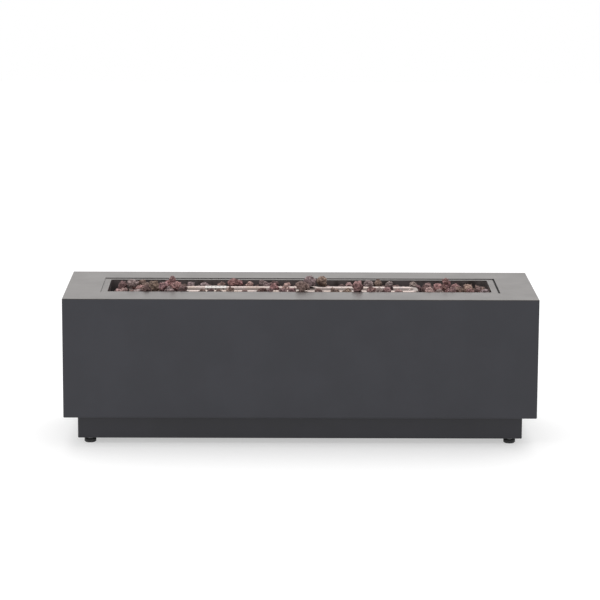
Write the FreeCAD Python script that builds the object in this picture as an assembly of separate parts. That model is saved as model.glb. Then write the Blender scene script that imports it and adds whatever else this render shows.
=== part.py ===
import FreeCAD, Part
import math
import os
import random

# Low rectangular gas fire table: a folded steel casing on a set-back plinth, with a pan of lava
# rock and a loop burner let into its top. Millimetres. X runs along the table, Y to its rear and
# Z up. The origin is on the floor under the middle of the table.

Vector = FreeCAD.Vector

# Table
table_length = 1270.0
table_depth = 406.0
table_height = 406.0
foot_height = 17.0
plinth_height = 64.0
plinth_inset = 36.0
sheet = 2.0
bend = 1.5
edge_round = 0.8
casing_flange = 60.0
plinth_flange = 22.0
plinth_bolt_spacing = 400.0

# Frame of square tube inside the casing
rail_side = 20.0
rail_wall = 1.5
rail_round = 2.0
post_leg = 25.0
post_sheet = 3.0
brace_spacing = 420.0

# Opening in the top and the pan that hangs in it
border = 96.0
ledge_width = 15.0
ledge_clearance = 3.0
pan_recess = 1.5
pan_sheet = 1.5
pan_gap = 2.7
pan_offset = -2.2
pan_depth = 43.0
pan_corner = 6.0
drain_radius = 3.0
drain_inset = 59.5

# Loop burner
burner_length = 655.0
burner_width = 76.0
tube_radius = 9.5
tube_wall = 1.2
burner_corner = 20.0
burner_below_top = 8.0
port_radius = 1.1
port_pitch = 26.0
port_angle = 32.0
hub_radius = 14.0
nipple_radius = 10.65
nipple_wall = 2.7
nipple_drop = 21.5
lock_nut_height = 7.0
saddle_inset = 28.0
saddle_sheet = 1.5
saddle_foot = 14.0

# Air mixer and orifice elbow under the pan
mixer_length = 82.0
mixer_radius = 15.0
mixer_waist = 11.5
mixer_wall = 2.5
air_window = 8.0
elbow_size = 18.0
elbow_drop = 14.0

# Igniter in the pan
hood_x = -231.0
hood_length = 57.0
hood_width = 26.0
hood_sheet = 1.0
hood_below_top = 4.0
hood_foot = 7.0
hood_hole_radius = 2.4
hood_hole_pitch = 10.6
hood_row_pitch = 5.9
sensor_spacing = 16.0
insulator_radius = 3.2
pin_radius = 1.0
thermocouple_radius = 2.4
bracket_height = 12.0
bracket_sheet = 1.2

# Recessed controls in the left end
pocket_width = 150.0
pocket_height = 90.0
pocket_depth = 46.0
pocket_corner = 10.0
pocket_taper = 3.0
pocket_sheet = 1.2
pocket_rim = 12.0
pocket_below_top = 121.0
valve_y = -34.0
spark_y = 40.0

# Gas valve
valve_radius = 17.0
valve_length = 43.0
valve_neck_radius = 6.0
valve_neck_length = 9.0
stem_radius = 4.0
tail_radius = 3.0
rotor_radius = 8.0
rotor_length = 24.0
knob_radius = 21.0
knob_length = 21.0
knob_lift = 8.0
knob_flutes = 12
knob_travel = 4.0
pipe_radius = 4.75
pipe_wall = 0.9
pipe_bend = 32.0
valve_inlet = 27.8
inlet_rise = 39.0
flare_radius = 7.94
flare_length = 14.0

# Spark igniter
spark_radius = 12.0
spark_length = 46.0
button_radius = 7.5
button_length = 16.0
button_proud = 7.0
button_travel = 4.0
collar_radius = 13.0
collar_height = 3.5

# Leads
spark_lead_radius = 1.75
sensor_lead_radius = 1.25
clip_inset = 9.0
spark_clip_y = 18.0
sensor_clip_y = -8.0
clip_width = 6.0
clip_sheet = 1.2
lead_drop = 26.0
shield_length = 190.0
shield_width = 160.0
shield_drop = 12.0

# Levelling feet
foot_inset = 31.0
pad_radius = 16.0
pad_height = 10.0
pad_chamfer = 2.5
stud_radius = 4.0
stud_proud = 14.5
foot_collar = 5.0
foot_nut_height = 6.5
gusset_side = 56.0
gusset_sheet = 3.0

# Rear access cover and vents
access_inset = 215.0
access_width = 260.0
access_height = 160.0
access_rise = 31.0
access_gap = 1.0
access_corner = 8.0
tab_width = 26.0
vent_length = 60.0
vent_height = 6.0
vent_pitch = 14.0
vent_rows = 5
vent_rise = 37.0
rear_vents = (60.0, 380.0)

# Lava rock
rock_gap = 0.3
rock_wall_gap = 2.2
rock_seed = 11
rock_faces = 14
rock_edge = 0.8
rock_tries = 12
rock_stretches = (-560.0, -280.0, 0.0, 300.0)

# Fits
running = 0.05
loose = 0.3

plinth_floor = foot_height
casing_floor = plinth_floor + plinth_height
access_floor = casing_floor + access_rise
vent_floor = casing_floor + vent_rise
inlet_height = plinth_floor + inlet_rise
stud_top = plinth_floor + sheet + gusset_sheet + foot_nut_height + stud_proud
top_under = table_height - sheet
half_length = table_length / 2
half_depth = table_depth / 2
access_x = access_inset - half_length
open_x = half_length - border
open_y = half_depth - border
ledge_top = table_height - pan_recess - pan_sheet
ledge_x = open_x - ledge_width
ledge_y = open_y - ledge_width
pan_x = ledge_x - ledge_clearance
pan_y = ledge_y - ledge_clearance
pan_top = table_height - pan_recess
pan_under = pan_top - pan_depth
pan_floor = pan_under + pan_sheet
burner_middle = table_height - burner_below_top - tube_radius
leg_y = burner_width / 2 - tube_radius
leg_x = burner_length / 2 - tube_radius
saddle_x = leg_x - burner_corner - saddle_inset
post_floor = casing_floor + sheet + rail_side
post_top = top_under - rail_side
inner_x = half_length - sheet
inner_y = half_depth - sheet
pocket_face = -half_length
pocket_back = pocket_face + pocket_depth
pocket_inner = pocket_back + pocket_sheet
pocket_middle = table_height - pocket_below_top
inlet_x = pocket_inner + valve_inlet
nipple_end = pan_under - nipple_drop
mixer_top = nipple_end + 12.0
mixer_floor = mixer_top - mixer_length
elbow_middle = mixer_floor - elbow_drop
hood_top = table_height - hood_below_top
spark_x = hood_x - sensor_spacing / 2
sensor_x = hood_x + sensor_spacing / 2
lead_level = pan_under - lead_drop
shield_level = pan_under - shield_drop
shield_start = rail_side - inner_x
clip_x = shield_start + shield_length - clip_inset
rock_room_x = pan_x - pan_sheet - rock_wall_gap
rock_room_y = pan_y - pan_sheet - rock_wall_gap


def box(x0, x1, y0, y1, z0, z1):
    return Part.makeBox(x1 - x0, y1 - y0, z1 - z0, Vector(x0, y0, z0))


def rod(radius, start, end):
    start = Vector(*start)
    line = Vector(*end) - start
    return Part.makeCylinder(radius, line.Length, start, line)


def pipe(outer, inner, start, end):
    return rod(outer, start, end).cut(rod(inner, start, end))


def cone(radius_start, radius_end, start, end):
    start = Vector(*start)
    line = Vector(*end) - start
    return Part.makeCone(radius_start, radius_end, line.Length, start, line)


def hexagon(across, start, end):
    """Hexagonal prism of a width across flats, along a line between two points."""
    start = Vector(*start)
    line = Vector(*end) - start
    side = Vector(0, 0, 1) if abs(line.z) < 0.5 * line.Length else Vector(0, 1, 0)
    other = line.cross(side).normalize()
    reach = across / math.sqrt(3)
    corners = []
    for turn in range(7):
        angle = math.radians(60 * turn)
        corners.append(start + side * (reach * math.cos(angle)) + other * (reach * math.sin(angle)))
    return Part.Face(Part.makePolygon(corners)).extrude(line)


def on_yz(x):
    return lambda u, v: Vector(x, u, v)


def on_xz(y):
    return lambda u, v: Vector(u, y, v)


def on_xy(z):
    return lambda u, v: Vector(u, v, z)


def rounded_outline(place, u0, u1, v0, v1, radius):
    """Rectangle with round corners, in the plane that place gives, as one closed wire."""
    edges = []
    diagonal = radius * (1 - math.sqrt(0.5))
    corners = [(u1, v0, -1, 1), (u1, v1, -1, -1), (u0, v1, 1, -1), (u0, v0, 1, 1)]
    arcs = []
    for index, (u, v, su, sv) in enumerate(corners):
        across = place(u + su * radius, v)
        upright = place(u, v + sv * radius)
        start, end = (across, upright) if index % 2 == 0 else (upright, across)
        arcs.append((start, place(u + su * diagonal, v + sv * diagonal), end))
    for index, (start, middle, end) in enumerate(arcs):
        before = arcs[index - 1][2]
        if before.distanceToPoint(start) > 1e-6:
            edges.append(Part.LineSegment(before, start).toShape())
        edges.append(Part.Arc(start, middle, end).toShape())
    return Part.Wire(edges)


def rounded_block(place, u0, u1, v0, v1, radius, along):
    return Part.Face(rounded_outline(place, u0, u1, v0, v1, radius)).extrude(along)


def folded_face(points, place, thickness, inside_bend):
    """Section of a folded sheet. One of its faces runs through the points, the sheet lies to the
    left of them, and each corner is an arc that both faces share a centre on."""
    marks = [(point[0], point[1]) for point in points]
    normals = []
    for (u0, v0), (u1, v1) in zip(marks, marks[1:]):
        length = math.hypot(u1 - u0, v1 - v0)
        normals.append((-(v1 - v0) / length, (u1 - u0) / length))

    def moved(point, normal):
        return point[0] + normal[0] * thickness, point[1] + normal[1] * thickness

    near, far = [[marks[0]]], [[moved(marks[0], normals[0])]]
    for mark, before, after in zip(marks[1:-1], normals, normals[1:]):
        turn = math.atan2(before[0] * after[1] - before[1] * after[0],
                          before[0] * after[0] + before[1] * after[1])
        side = 1 if turn > 0 else -1
        face_radius = inside_bend + thickness if side > 0 else inside_bend
        back_radius = face_radius - side * thickness
        reach = face_radius / math.cos(turn / 2)
        bisector = (before[0] + after[0], before[1] + after[1])
        size = math.hypot(*bisector)
        to_centre = (side * bisector[0] / size, side * bisector[1] / size)
        centre = (mark[0] + to_centre[0] * reach, mark[1] + to_centre[1] * reach)
        for radius, path in ((face_radius, near), (back_radius, far)):
            spokes = [(-side * n[0], -side * n[1]) for n in (before, after)]
            spokes.insert(1, (-to_centre[0], -to_centre[1]))
            path.append([(centre[0] + s[0] * radius, centre[1] + s[1] * radius) for s in spokes])
    near.append([marks[-1]])
    far.append([moved(marks[-1], normals[-1])])

    def edges(path):
        made = []
        for before, after in zip(path, path[1:]):
            made.append(Part.LineSegment(place(*before[-1]), place(*after[0])).toShape())
            if len(after) == 3:
                made.append(Part.Arc(*[place(*point) for point in after]).toShape())
        return made

    back = [list(reversed(part)) for part in reversed(far)]
    cap = [Part.LineSegment(place(*near[-1][0]), place(*far[-1][0])).toShape()]
    close = [Part.LineSegment(place(*far[0][0]), place(*near[0][0])).toShape()]
    return Part.Face(Part.Wire(edges(near) + cap + edges(back) + close))


def mitred_walls(half_x, half_y, section, reach):
    """Front, rear, left and right walls of a ring. The section's points are (inset, height), and
    each wall is cut at 45 degrees in plan, so that the four meet on their corners."""
    low, high = min(p[1] for p in section) - 1, max(p[1] for p in section) + 1
    spread = 1.0
    walls = []
    for side in (-1, 1):
        face = folded_face(section, lambda inset, height: Vector(-half_x - spread,
                           side * (half_y - inset), height), sheet, bend)
        wall = face.extrude(Vector(2 * (half_x + spread), 0, 0))
        plan = [(-half_x - spread, half_y + spread), (half_x + spread, half_y + spread),
                (half_x - reach, half_y - reach), (-half_x + reach, half_y - reach)]
        walls.append(wall.common(plan_prism([(x, side * y) for x, y in plan], low, high)))
    for side in (-1, 1):
        face = folded_face(section, lambda inset, height: Vector(side * (half_x - inset),
                           -half_y - spread, height), sheet, bend)
        wall = face.extrude(Vector(0, 2 * (half_y + spread), 0))
        plan = [(half_x + spread, -half_y - spread), (half_x + spread, half_y + spread),
                (half_x - reach, half_y - reach), (half_x - reach, -half_y + reach)]
        walls.append(wall.common(plan_prism([(side * x, y) for x, y in plan], low, high)))
    return walls


def plan_prism(corners, low, high):
    points = [Vector(x, y, low) for x, y in corners]
    return Part.Face(Part.makePolygon(points + points[:1])).extrude(Vector(0, 0, high - low))


def bent_path(points, radius):
    """Straight runs through the points, joined by arcs of one radius that are tangent to them."""
    marks = [Vector(*point) for point in points]
    radii = radius if isinstance(radius, list) else [radius] * (len(marks) - 2)
    edges = []
    last = marks[0]
    for before, mark, after, size in zip(marks, marks[1:], marks[2:], radii):
        back = (before - mark).normalize()
        ahead = (after - mark).normalize()
        half = back.getAngle(ahead) / 2
        cut = size / math.tan(half)
        start, end = mark + back * cut, mark + ahead * cut
        inward = (back + ahead).normalize()
        middle = mark + inward * (size / math.sin(half) - size)
        edges.append(Part.LineSegment(last, start).toShape())
        edges.append(Part.Arc(start, middle, end).toShape())
        last = end
    edges.append(Part.LineSegment(last, marks[-1]).toShape())
    return Part.Wire(edges)


def swept(path, radius):
    """Round bar along a path of straight runs and arcs, each piece extruded or revolved."""
    bars = []
    for edge in path.Edges:
        start = edge.valueAt(edge.FirstParameter)
        way = edge.tangentAt(edge.FirstParameter)
        disc = Part.Face(Part.Wire(Part.makeCircle(radius, start, way)))
        if isinstance(edge.Curve, Part.Circle):
            turn = math.degrees(edge.LastParameter - edge.FirstParameter)
            bars.append(disc.revolve(edge.Curve.Center, edge.Curve.Axis, turn))
        else:
            bars.append(disc.extrude(edge.valueAt(edge.LastParameter) - start))
    return bars[0].fuse(bars[1:]).removeSplitter() if len(bars) > 1 else bars[0]


def lead_radii(points, diameter):
    """Arc radii of a lead: 0.45 of the shorter run over the tangent of half the turn."""
    marks = [Vector(*point) for point in points]
    radii = []
    for before, mark, after in zip(marks, marks[1:], marks[2:]):
        shorter = min((mark - before).Length, (after - mark).Length)
        turn = (mark - before).getAngle(after - mark)
        radii.append(0.45 * shorter / math.tan(turn / 2))
    print("lead of diameter", diameter, "has radii", [round(radius) for radius in radii])
    return radii


def casing():
    """Four wall panels: folded inward at the foot, with the controls, access and vents cut out."""
    section = [(0, top_under), (0, casing_floor), (casing_flange, casing_floor)]
    front, rear, left, right = mitred_walls(half_length, half_depth, section, casing_flange + 2)
    rear = rear.cut(rounded_block(on_xz(half_depth + 1), access_x - access_width / 2,
                                  access_x + access_width / 2, access_floor,
                                  access_floor + access_height, access_corner,
                                  Vector(0, -sheet - 2, 0)))
    for middle in rear_vents:
        rear = rear.cut(vents(lambda u, v: Vector(u, half_depth + 1, v), middle,
                              Vector(0, -sheet - 2, 0)))
    left = left.cut(rounded_block(on_yz(-half_length - 1), -pocket_width / 2, pocket_width / 2,
                                  pocket_middle - pocket_height / 2,
                                  pocket_middle + pocket_height / 2, pocket_corner,
                                  Vector(sheet + 2, 0, 0)))
    left = left.cut(vents(on_yz(-half_length - 1), 0.0, Vector(sheet + 2, 0, 0)))
    right = right.cut(vents(on_yz(half_length + 1), 0.0, Vector(-sheet - 2, 0, 0)))
    bolts = [rod(3.3, (x, y, casing_floor - 1), (x, y, casing_floor + sheet + 1))
             for x, y in plinth_bolt_places()]
    holes = Part.makeCompound(bolts)
    rear = Part.makeCompound([rear.cut(holes)] + access_tabs())
    return front.cut(holes), rear, Part.makeCompound([left] + pocket_studs()), right


def vents(place, middle, along):
    slots = []
    for row in range(vent_rows):
        height = vent_floor + row * vent_pitch
        slots.append(rounded_block(place, middle - vent_length / 2, middle + vent_length / 2,
                                   height - vent_height / 2, height + vent_height / 2,
                                   vent_height / 2 - 0.001, along))
    return Part.makeCompound(slots)


def top_panel():
    """Flat top with a softened rim, stepped down round its opening to a ledge for the pan."""
    plate = box(-half_length, half_length, -half_depth, half_depth, top_under, table_height)
    rim = [edge for edge in plate.Edges if all(abs(v.Z - table_height) < 1e-6
                                               for v in edge.Vertexes)]
    plate = plate.makeFillet(edge_round, rim)
    plate = plate.cut(box(-open_x, open_x, -open_y, open_y, top_under - 1, table_height + 1))
    outer = open_x + sheet, open_y + sheet
    step = box(-outer[0], outer[0], -outer[1], outer[1], ledge_top - sheet, top_under)
    step = step.cut(box(-open_x, open_x, -open_y, open_y, ledge_top, top_under + 1))
    step = step.cut(box(-ledge_x, ledge_x, -ledge_y, ledge_y, ledge_top - sheet - 1, ledge_top + 1))
    top = plate.fuse(step).removeSplitter()
    mouth = [edge for edge in top.Edges if all(
        abs(v.Z - table_height) < 1e-6 and abs(v.X) < open_x + 1e-6 and abs(v.Y) < open_y + 1e-6
        for v in edge.Vertexes)]
    return top.makeFillet(edge_round, mouth)


def square_tube(place, u0, v0, along):
    outer = rounded_block(place, u0, u0 + rail_side, v0, v0 + rail_side, rail_round, along)
    inner = Part.Face(Part.makePolygon([place(u0 + a, v0 + b) for a, b in (
        (rail_wall, rail_wall), (rail_side - rail_wall, rail_wall),
        (rail_side - rail_wall, rail_side - rail_wall), (rail_wall, rail_side - rail_wall),
        (rail_wall, rail_wall))])).extrude(along)
    return outer.cut(inner)


def ring_of_rails(floor):
    """Front, rear, left and right square tubes of one ring of the frame, butted at the corners."""
    long_run = Vector(2 * inner_x, 0, 0)
    short = inner_y - rail_side
    short_run = Vector(0, 2 * short, 0)
    return [square_tube(on_yz(-inner_x), -inner_y, floor, long_run),
            square_tube(on_yz(-inner_x), inner_y - rail_side, floor, long_run),
            square_tube(on_xz(-short), -inner_x, floor, short_run),
            square_tube(on_xz(-short), inner_x - rail_side, floor, short_run)]


def top_rails():
    return Part.makeCompound(ring_of_rails(post_top))


def base_rails():
    """Ring on the casing's folded foot, and two braces across it."""
    run = Vector(0, 2 * (inner_y - rail_side), 0)
    floor = casing_floor + sheet
    braces = [square_tube(on_xz(-inner_y + rail_side), x - rail_side / 2, floor, run)
              for x in (-brace_spacing / 2, brace_spacing / 2)]
    return Part.makeCompound(ring_of_rails(floor) + braces)


def corner_posts():
    """Equal angles that stand between the two rings of rails, one in each corner."""
    posts = []
    for sx in (-1, 1):
        for sy in (-1, 1):
            points = [(sx * (inner_x - a), sy * (inner_y - b)) for a, b in (
                (0, 0), (post_leg, 0), (post_leg, post_sheet), (post_sheet, post_sheet),
                (post_sheet, post_leg), (0, post_leg))]
            posts.append(plan_prism(points, post_floor, post_top))
    return Part.makeCompound(posts)


def access_cover():
    half_x, half_z = access_width / 2 - access_gap, access_height / 2 - access_gap
    middle = access_floor + access_height / 2
    cover = rounded_block(on_xz(half_depth), access_x - half_x, access_x + half_x,
                          middle - half_z, middle + half_z, access_corner - access_gap,
                          Vector(0, -sheet, 0))
    for x, z in access_screw_places():
        cover = cover.cut(access_screw(x, z, running))
    return cover


def access_screw_places():
    half_x, half_z = access_width / 2 - tab_width / 3, access_height / 2 - tab_width / 3
    middle = access_floor + access_height / 2
    return [(access_x + sx * half_x, middle + sz * half_z) for sx in (-1, 1) for sz in (-1, 1)]


def access_screw(x, z, clearance=0.0):
    """Countersunk screw, flush with the cover. With a clearance it is its own hole."""
    face = half_depth
    head = cone(4.0 + clearance, 2.0 + clearance, (x, face, z), (x, face - sheet, z))
    return head.fuse(rod(2.0 + clearance, (x, face - 0.5, z), (x, face - 9.0, z)))


def access_screws():
    return Part.makeCompound([access_screw(x, z) for x, z in access_screw_places()])


def access_tabs():
    """Four tabs welded behind the rear wall, which carry the cover's corners."""
    face = inner_y
    tabs = []
    for x, z in access_screw_places():
        outward = 1 if x > access_x else -1
        near, far = sorted((x - outward * tab_width / 3, x + outward * 2 * tab_width / 3))
        tab = box(near, far, face - sheet, face, z - tab_width / 3, z + tab_width / 3)
        tabs.append(tab.cut(access_screw(x, z, running)))
    return tabs


def plinth():
    """Four channel-section walls, mitred, with the gas inlet's hole in the rear one."""
    section = [(plinth_flange, casing_floor), (0, casing_floor), (0, plinth_floor),
               (plinth_flange, plinth_floor)]
    front, rear, left, right = mitred_walls(half_length - plinth_inset,
                                            half_depth - plinth_inset, section, plinth_flange + 2)
    face = half_depth - plinth_inset
    rear = rear.cut(rod(flare_radius + loose, (inlet_x, face + 1, inlet_height),
                        (inlet_x, face - sheet - 1, inlet_height)))
    bolts = [rod(3.3, (x, y, casing_floor - sheet - 1), (x, y, casing_floor + 1))
             for x, y in plinth_bolt_places()]
    holes = Part.makeCompound(bolts)
    return front.cut(holes), rear.cut(holes), left, right


def plinth_bolt_places():
    y = half_depth - plinth_inset - plinth_flange / 2 - sheet / 2
    return [(step * plinth_bolt_spacing, side * y) for step in (-1, 0, 1) for side in (-1, 1)]


def plinth_fasteners():
    """Bolts up through the plinth's and the casing's flanges, each with its nut."""
    pieces = []
    for x, y in plinth_bolt_places():
        under, floor = casing_floor - sheet, casing_floor + sheet
        head = hexagon(10.0, (x, y, under - 4.0), (x, y, under))
        pieces.append(head.fuse(rod(3.0, (x, y, under - 1), (x, y, floor + 7.0))))
        nut = hexagon(10.0, (x, y, floor), (x, y, floor + 5.0))
        pieces.append(nut.cut(rod(3.0 + running, (x, y, floor - 1), (x, y, floor + 6))))
    return Part.makeCompound(pieces)


def foot_places():
    x = half_length - plinth_inset - foot_inset
    y = half_depth - plinth_inset - foot_inset
    return {"front_left": (-x, -y), "front_right": (x, -y), "rear_left": (-x, y),
            "rear_right": (x, y)}


def foot_gussets():
    """Corner plates on the plinth's lower flange, cut off across their free corner."""
    plates = []
    floor = plinth_floor + sheet
    corner_x = half_length - plinth_inset - sheet - bend
    corner_y = half_depth - plinth_inset - sheet - bend
    for x, y in foot_places().values():
        sx, sy = math.copysign(1, x), math.copysign(1, y)
        outline = [(0, 0), (gusset_side, 0), (gusset_side, gusset_side / 2),
                   (gusset_side / 2, gusset_side), (0, gusset_side)]
        points = [(sx * (corner_x - a), sy * (corner_y - b)) for a, b in outline]
        plate = plan_prism(points, floor, floor + gusset_sheet)
        plates.append(plate.cut(rod(stud_radius + loose, (x, y, floor - 1),
                                    (x, y, floor + gusset_sheet + 1))))
    return Part.makeCompound(plates)


def foot_nuts():
    nuts = []
    floor = plinth_floor + sheet + gusset_sheet
    for x, y in foot_places().values():
        nut = hexagon(13.0, (x, y, floor), (x, y, floor + foot_nut_height))
        nuts.append(nut.cut(rod(stud_radius + running, (x, y, floor - 1),
                                (x, y, floor + foot_nut_height + 1))))
    return Part.makeCompound(nuts)


def foot_pad(x, y):
    """Round pad with a chamfered foot and a socket that the stud's end turns in."""
    pad = cone(pad_radius - pad_chamfer, pad_radius, (x, y, 0), (x, y, pad_chamfer))
    pad = pad.fuse(rod(pad_radius, (x, y, pad_chamfer), (x, y, pad_height - 1.0)))
    pad = pad.fuse(cone(pad_radius, pad_radius - 1.0, (x, y, pad_height - 1.0),
                        (x, y, pad_height)))
    return pad.removeSplitter().cut(rod(stud_radius + running, (x, y, pad_chamfer + 1),
                                        (x, y, pad_height + 1)))


def foot_stud(x, y):
    """Threaded stud, here a plain rod, with the hexagon by which it is turned."""
    stud = rod(stud_radius, (x, y, pad_chamfer + 1 + loose), (x, y, stud_top))
    seat = pad_height + loose
    return stud.fuse(hexagon(13.0, (x, y, seat), (x, y, seat + foot_collar)))


def burner_pan():
    """Tray with round corners and foot, hung by a flat flange, with drains and burner hole."""
    outer = tray(0.0)
    inner = tray(pan_sheet)
    flange_x = open_x - pan_gap
    flange_y = open_y - pan_gap
    flange = box(-flange_x, flange_x, -flange_y, flange_y, pan_top - pan_sheet, pan_top)
    pan = outer.fuse(flange).cut(inner).removeSplitter()
    holes = [rod(nipple_radius + loose, (0, 0, pan_under - 1), (0, 0, pan_floor + 1))]
    for x in (spark_x, sensor_x):
        holes.append(rod(grommet_radius(), (x - pan_offset, 0, pan_under - 1),
                         (x - pan_offset, 0, pan_floor + 1)))
    for share in (-1, -0.5, 0.5, 1):
        for y in (-pan_y / 2 - 20, pan_y / 2 + 20):
            x = share * (pan_x - drain_inset)
            holes.append(rod(drain_radius, (x, y, pan_under - 1), (x, y, pan_floor + 1)))
    return in_pan(pan.cut(Part.makeCompound(holes)))


def grommet_radius():
    return 5.0


def grommet_rim():
    return grommet_radius() + 1.6


def tray(inset):
    """Block of the tray's outside, or with an inset of its inside, open upward."""
    top = pan_top if inset == 0 else pan_top + 5
    block = box(-pan_x + inset, pan_x - inset, -pan_y + inset, pan_y - inset,
                pan_under + inset, top)
    upright = [edge for edge in block.Edges if abs(edge.Vertexes[0].Z - edge.Vertexes[1].Z) > 1]
    block = block.makeFillet(pan_corner - inset, upright)
    foot = [edge for edge in block.Edges if all(abs(v.Z - pan_under - inset) < 1e-6
                                                for v in edge.Vertexes)]
    return block.makeFillet(bend + pan_sheet - inset + 1.0, foot)


def in_pan(shape):
    """Moves what hangs in the pan to where the pan sits in its opening."""
    return shape.translated(Vector(pan_offset, 0, 0))


def loop_path():
    """Centre line of the burner's loop: a rectangle with round corners."""
    return rounded_outline(on_xy(burner_middle), -leg_x, leg_x, -leg_y, leg_y, burner_corner)


def burner_loop():
    """Loop of tube with a cross tube, a hub for the gas and two rows of ports on each leg."""
    bore = tube_radius - tube_wall
    cross = (0, -leg_y, burner_middle), (0, leg_y, burner_middle)
    hub_top = burner_middle - 1
    outside = swept(loop_path(), tube_radius).fuse(rod(tube_radius, *cross))
    outside = outside.fuse(rod(hub_radius, (0, 0, pan_floor), (0, 0, hub_top)))
    inside = swept(loop_path(), bore).fuse(rod(bore, *cross))
    inside = inside.fuse(rod(bore, (0, 0, pan_floor - 1), (0, 0, burner_middle)))
    seat = rod(nipple_radius + running, (0, 0, pan_floor - 1), (0, 0, pan_floor + 14))
    burner = outside.cut(inside).cut(seat)
    return in_pan(burner.cut(Part.makeCompound(burner_ports())))


def burner_ports():
    ports = []
    count = int((leg_x - 2 * burner_corner) / port_pitch)
    for side in (-1, 1):
        for step in range(-count, count + 1):
            lean = math.radians(port_angle if (step + side) % 2 else -port_angle)
            x = (step + 0.5) * port_pitch if step < 0 else (step - 0.5) * port_pitch
            if step == 0:
                continue
            start = (x, side * leg_y, burner_middle)
            reach = tube_radius + 1
            end = (x, side * leg_y + reach * math.sin(lean), burner_middle + reach * math.cos(lean))
            ports.append(rod(port_radius, start, end))
    return ports


def burner_saddles():
    """Folded brackets on the pan's floor, notched to carry both legs of the loop."""
    saddles = []
    for side in (-1, 1):
        x = side * saddle_x
        near, far = sorted((x, x + side * saddle_sheet))
        wall = box(near, far, -burner_width / 2 - 4, burner_width / 2 + 4, pan_floor,
                   burner_middle)
        for y in (-leg_y, leg_y):
            wall = wall.cut(rod(tube_radius + running, (x - 5, y, burner_middle),
                                (x + 5, y, burner_middle)))
        near, far = sorted((x + side * saddle_sheet, x + side * saddle_foot))
        foot = box(near, far, -burner_width / 2 - 4, burner_width / 2 + 4, pan_floor,
                   pan_floor + saddle_sheet)
        saddle = wall.fuse(foot).removeSplitter()
        saddles.append(saddle)
    return in_pan(Part.makeCompound(saddles))


def burner_nipple():
    """Short threaded pipe that leads the gas up through the pan's floor."""
    inner = nipple_radius - nipple_wall
    return in_pan(pipe(nipple_radius, inner, (0, 0, nipple_end), (0, 0, pan_floor + 13.5)))


def pan_lock_nut():
    floor = pan_under - lock_nut_height
    nut = hexagon(30.0, (0, 0, floor), (0, 0, pan_under))
    return in_pan(nut.cut(rod(nipple_radius + running, (0, 0, floor - 1), (0, 0, pan_under + 1))))


def air_mixer():
    """Cast venturi below the pan: a socket for the nipple, a waist, and a flared foot with
    windows where air is drawn in."""
    waist = mixer_floor + mixer_length * 0.55
    window_top = mixer_floor + 26
    outline = [(mixer_radius, mixer_top), (mixer_radius, nipple_end - 8), (mixer_waist, waist),
               (mixer_radius - 1, window_top + 4), (mixer_radius, mixer_floor)]
    bore = [(6.0, mixer_floor), (6.0, mixer_floor + 3),
            (mixer_radius - mixer_wall, mixer_floor + 3),
            (mixer_radius - mixer_wall, window_top), (mixer_waist - mixer_wall, waist),
            (nipple_radius - nipple_wall, nipple_end), (nipple_radius + running, nipple_end),
            (nipple_radius + running, mixer_top)]
    points = [Vector(r, 0, z) for r, z in outline + bore]
    body = Part.Face(Part.makePolygon(points + points[:1])).revolve(Vector(0, 0, 0),
                                                                    Vector(0, 0, 1), 360)
    for direction in ((1, 0), (0, 1)):
        reach = mixer_radius + 2
        window = box(-air_window / 2 if direction[1] else -reach,
                     air_window / 2 if direction[1] else reach,
                     -air_window / 2 if direction[0] else -reach,
                     air_window / 2 if direction[0] else reach,
                     mixer_floor + 6, mixer_floor + 22)
        body = body.cut(window)
    return in_pan(body)


def orifice_elbow():
    """Forged elbow with the jet on its top and the gas pipe's flare at its left."""
    half = elbow_size / 2
    x = pan_offset
    body = box(x - half, x + half, -half, half, elbow_middle - half, elbow_middle + half)
    body = body.makeFillet(3.0, [e for e in body.Edges if e.Length < elbow_size + 1
                                 and abs(e.Vertexes[0].Y - e.Vertexes[1].Y) > 1])
    body = body.fuse(rod(6.0 - running, (x, 0, elbow_middle), (x, 0, mixer_floor + 8)))
    body = body.fuse(cone(4.5, 2.5, (x, 0, mixer_floor + 8), (x, 0, mixer_floor + 13)))
    body = body.fuse(hexagon(16.0, (x - half - 12, 0, elbow_middle),
                             (x - half, 0, elbow_middle)))
    return body.cut(rod(pipe_radius + running, (x - half - 13, 0, elbow_middle),
                        (x - half - 4, 0, elbow_middle)))


def igniter_hood():
    """Perforated hood over the igniter: two walls and a roof, with a foot along each wall."""
    half = hood_width / 2
    floor = pan_floor
    roof = hood_top
    section = [(-half - hood_foot, floor + hood_sheet), (-half, floor + hood_sheet), (-half, roof),
               (half, roof), (half, floor + hood_sheet), (half + hood_foot, floor + hood_sheet)]
    section = [(u, v) for u, v in reversed(section)]
    face = folded_face(section, on_yz(hood_x - hood_length / 2), hood_sheet, 0.6)
    hood = face.extrude(Vector(hood_length, 0, 0))
    holes = []
    for column in range(-2, 3):
        x = hood_x + column * hood_hole_pitch
        for row in range(2):
            z = roof - 4.6 - row * hood_row_pitch
            holes.append(rod(hood_hole_radius, (x, -half - 5, z), (x, half + 5, z)))
        holes.append(rod(hood_hole_radius, (x, 0, roof - 5), (x, 0, roof + 5)))
    return hood.cut(Part.makeCompound(holes))


def igniter_bracket():
    """Stepped strip on the pan's floor that holds the electrode and the thermocouple upright."""
    half = sensor_spacing / 2 + 5
    shelf = pan_floor + bracket_height
    riser = -grommet_rim() - 0.7
    section = [(-hood_width / 2 + 2, pan_floor), (riser, pan_floor), (riser, shelf), (6.0, shelf)]
    face = folded_face(section, on_yz(hood_x - half), bracket_sheet, 0.8)
    bracket = face.extrude(Vector(2 * half, 0, 0))
    for x, radius in ((spark_x, insulator_radius), (sensor_x, thermocouple_radius)):
        bracket = bracket.cut(rod(radius + running, (x, 0, shelf - 1),
                                  (x, 0, shelf + bracket_sheet + 1)))
    return bracket


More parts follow.
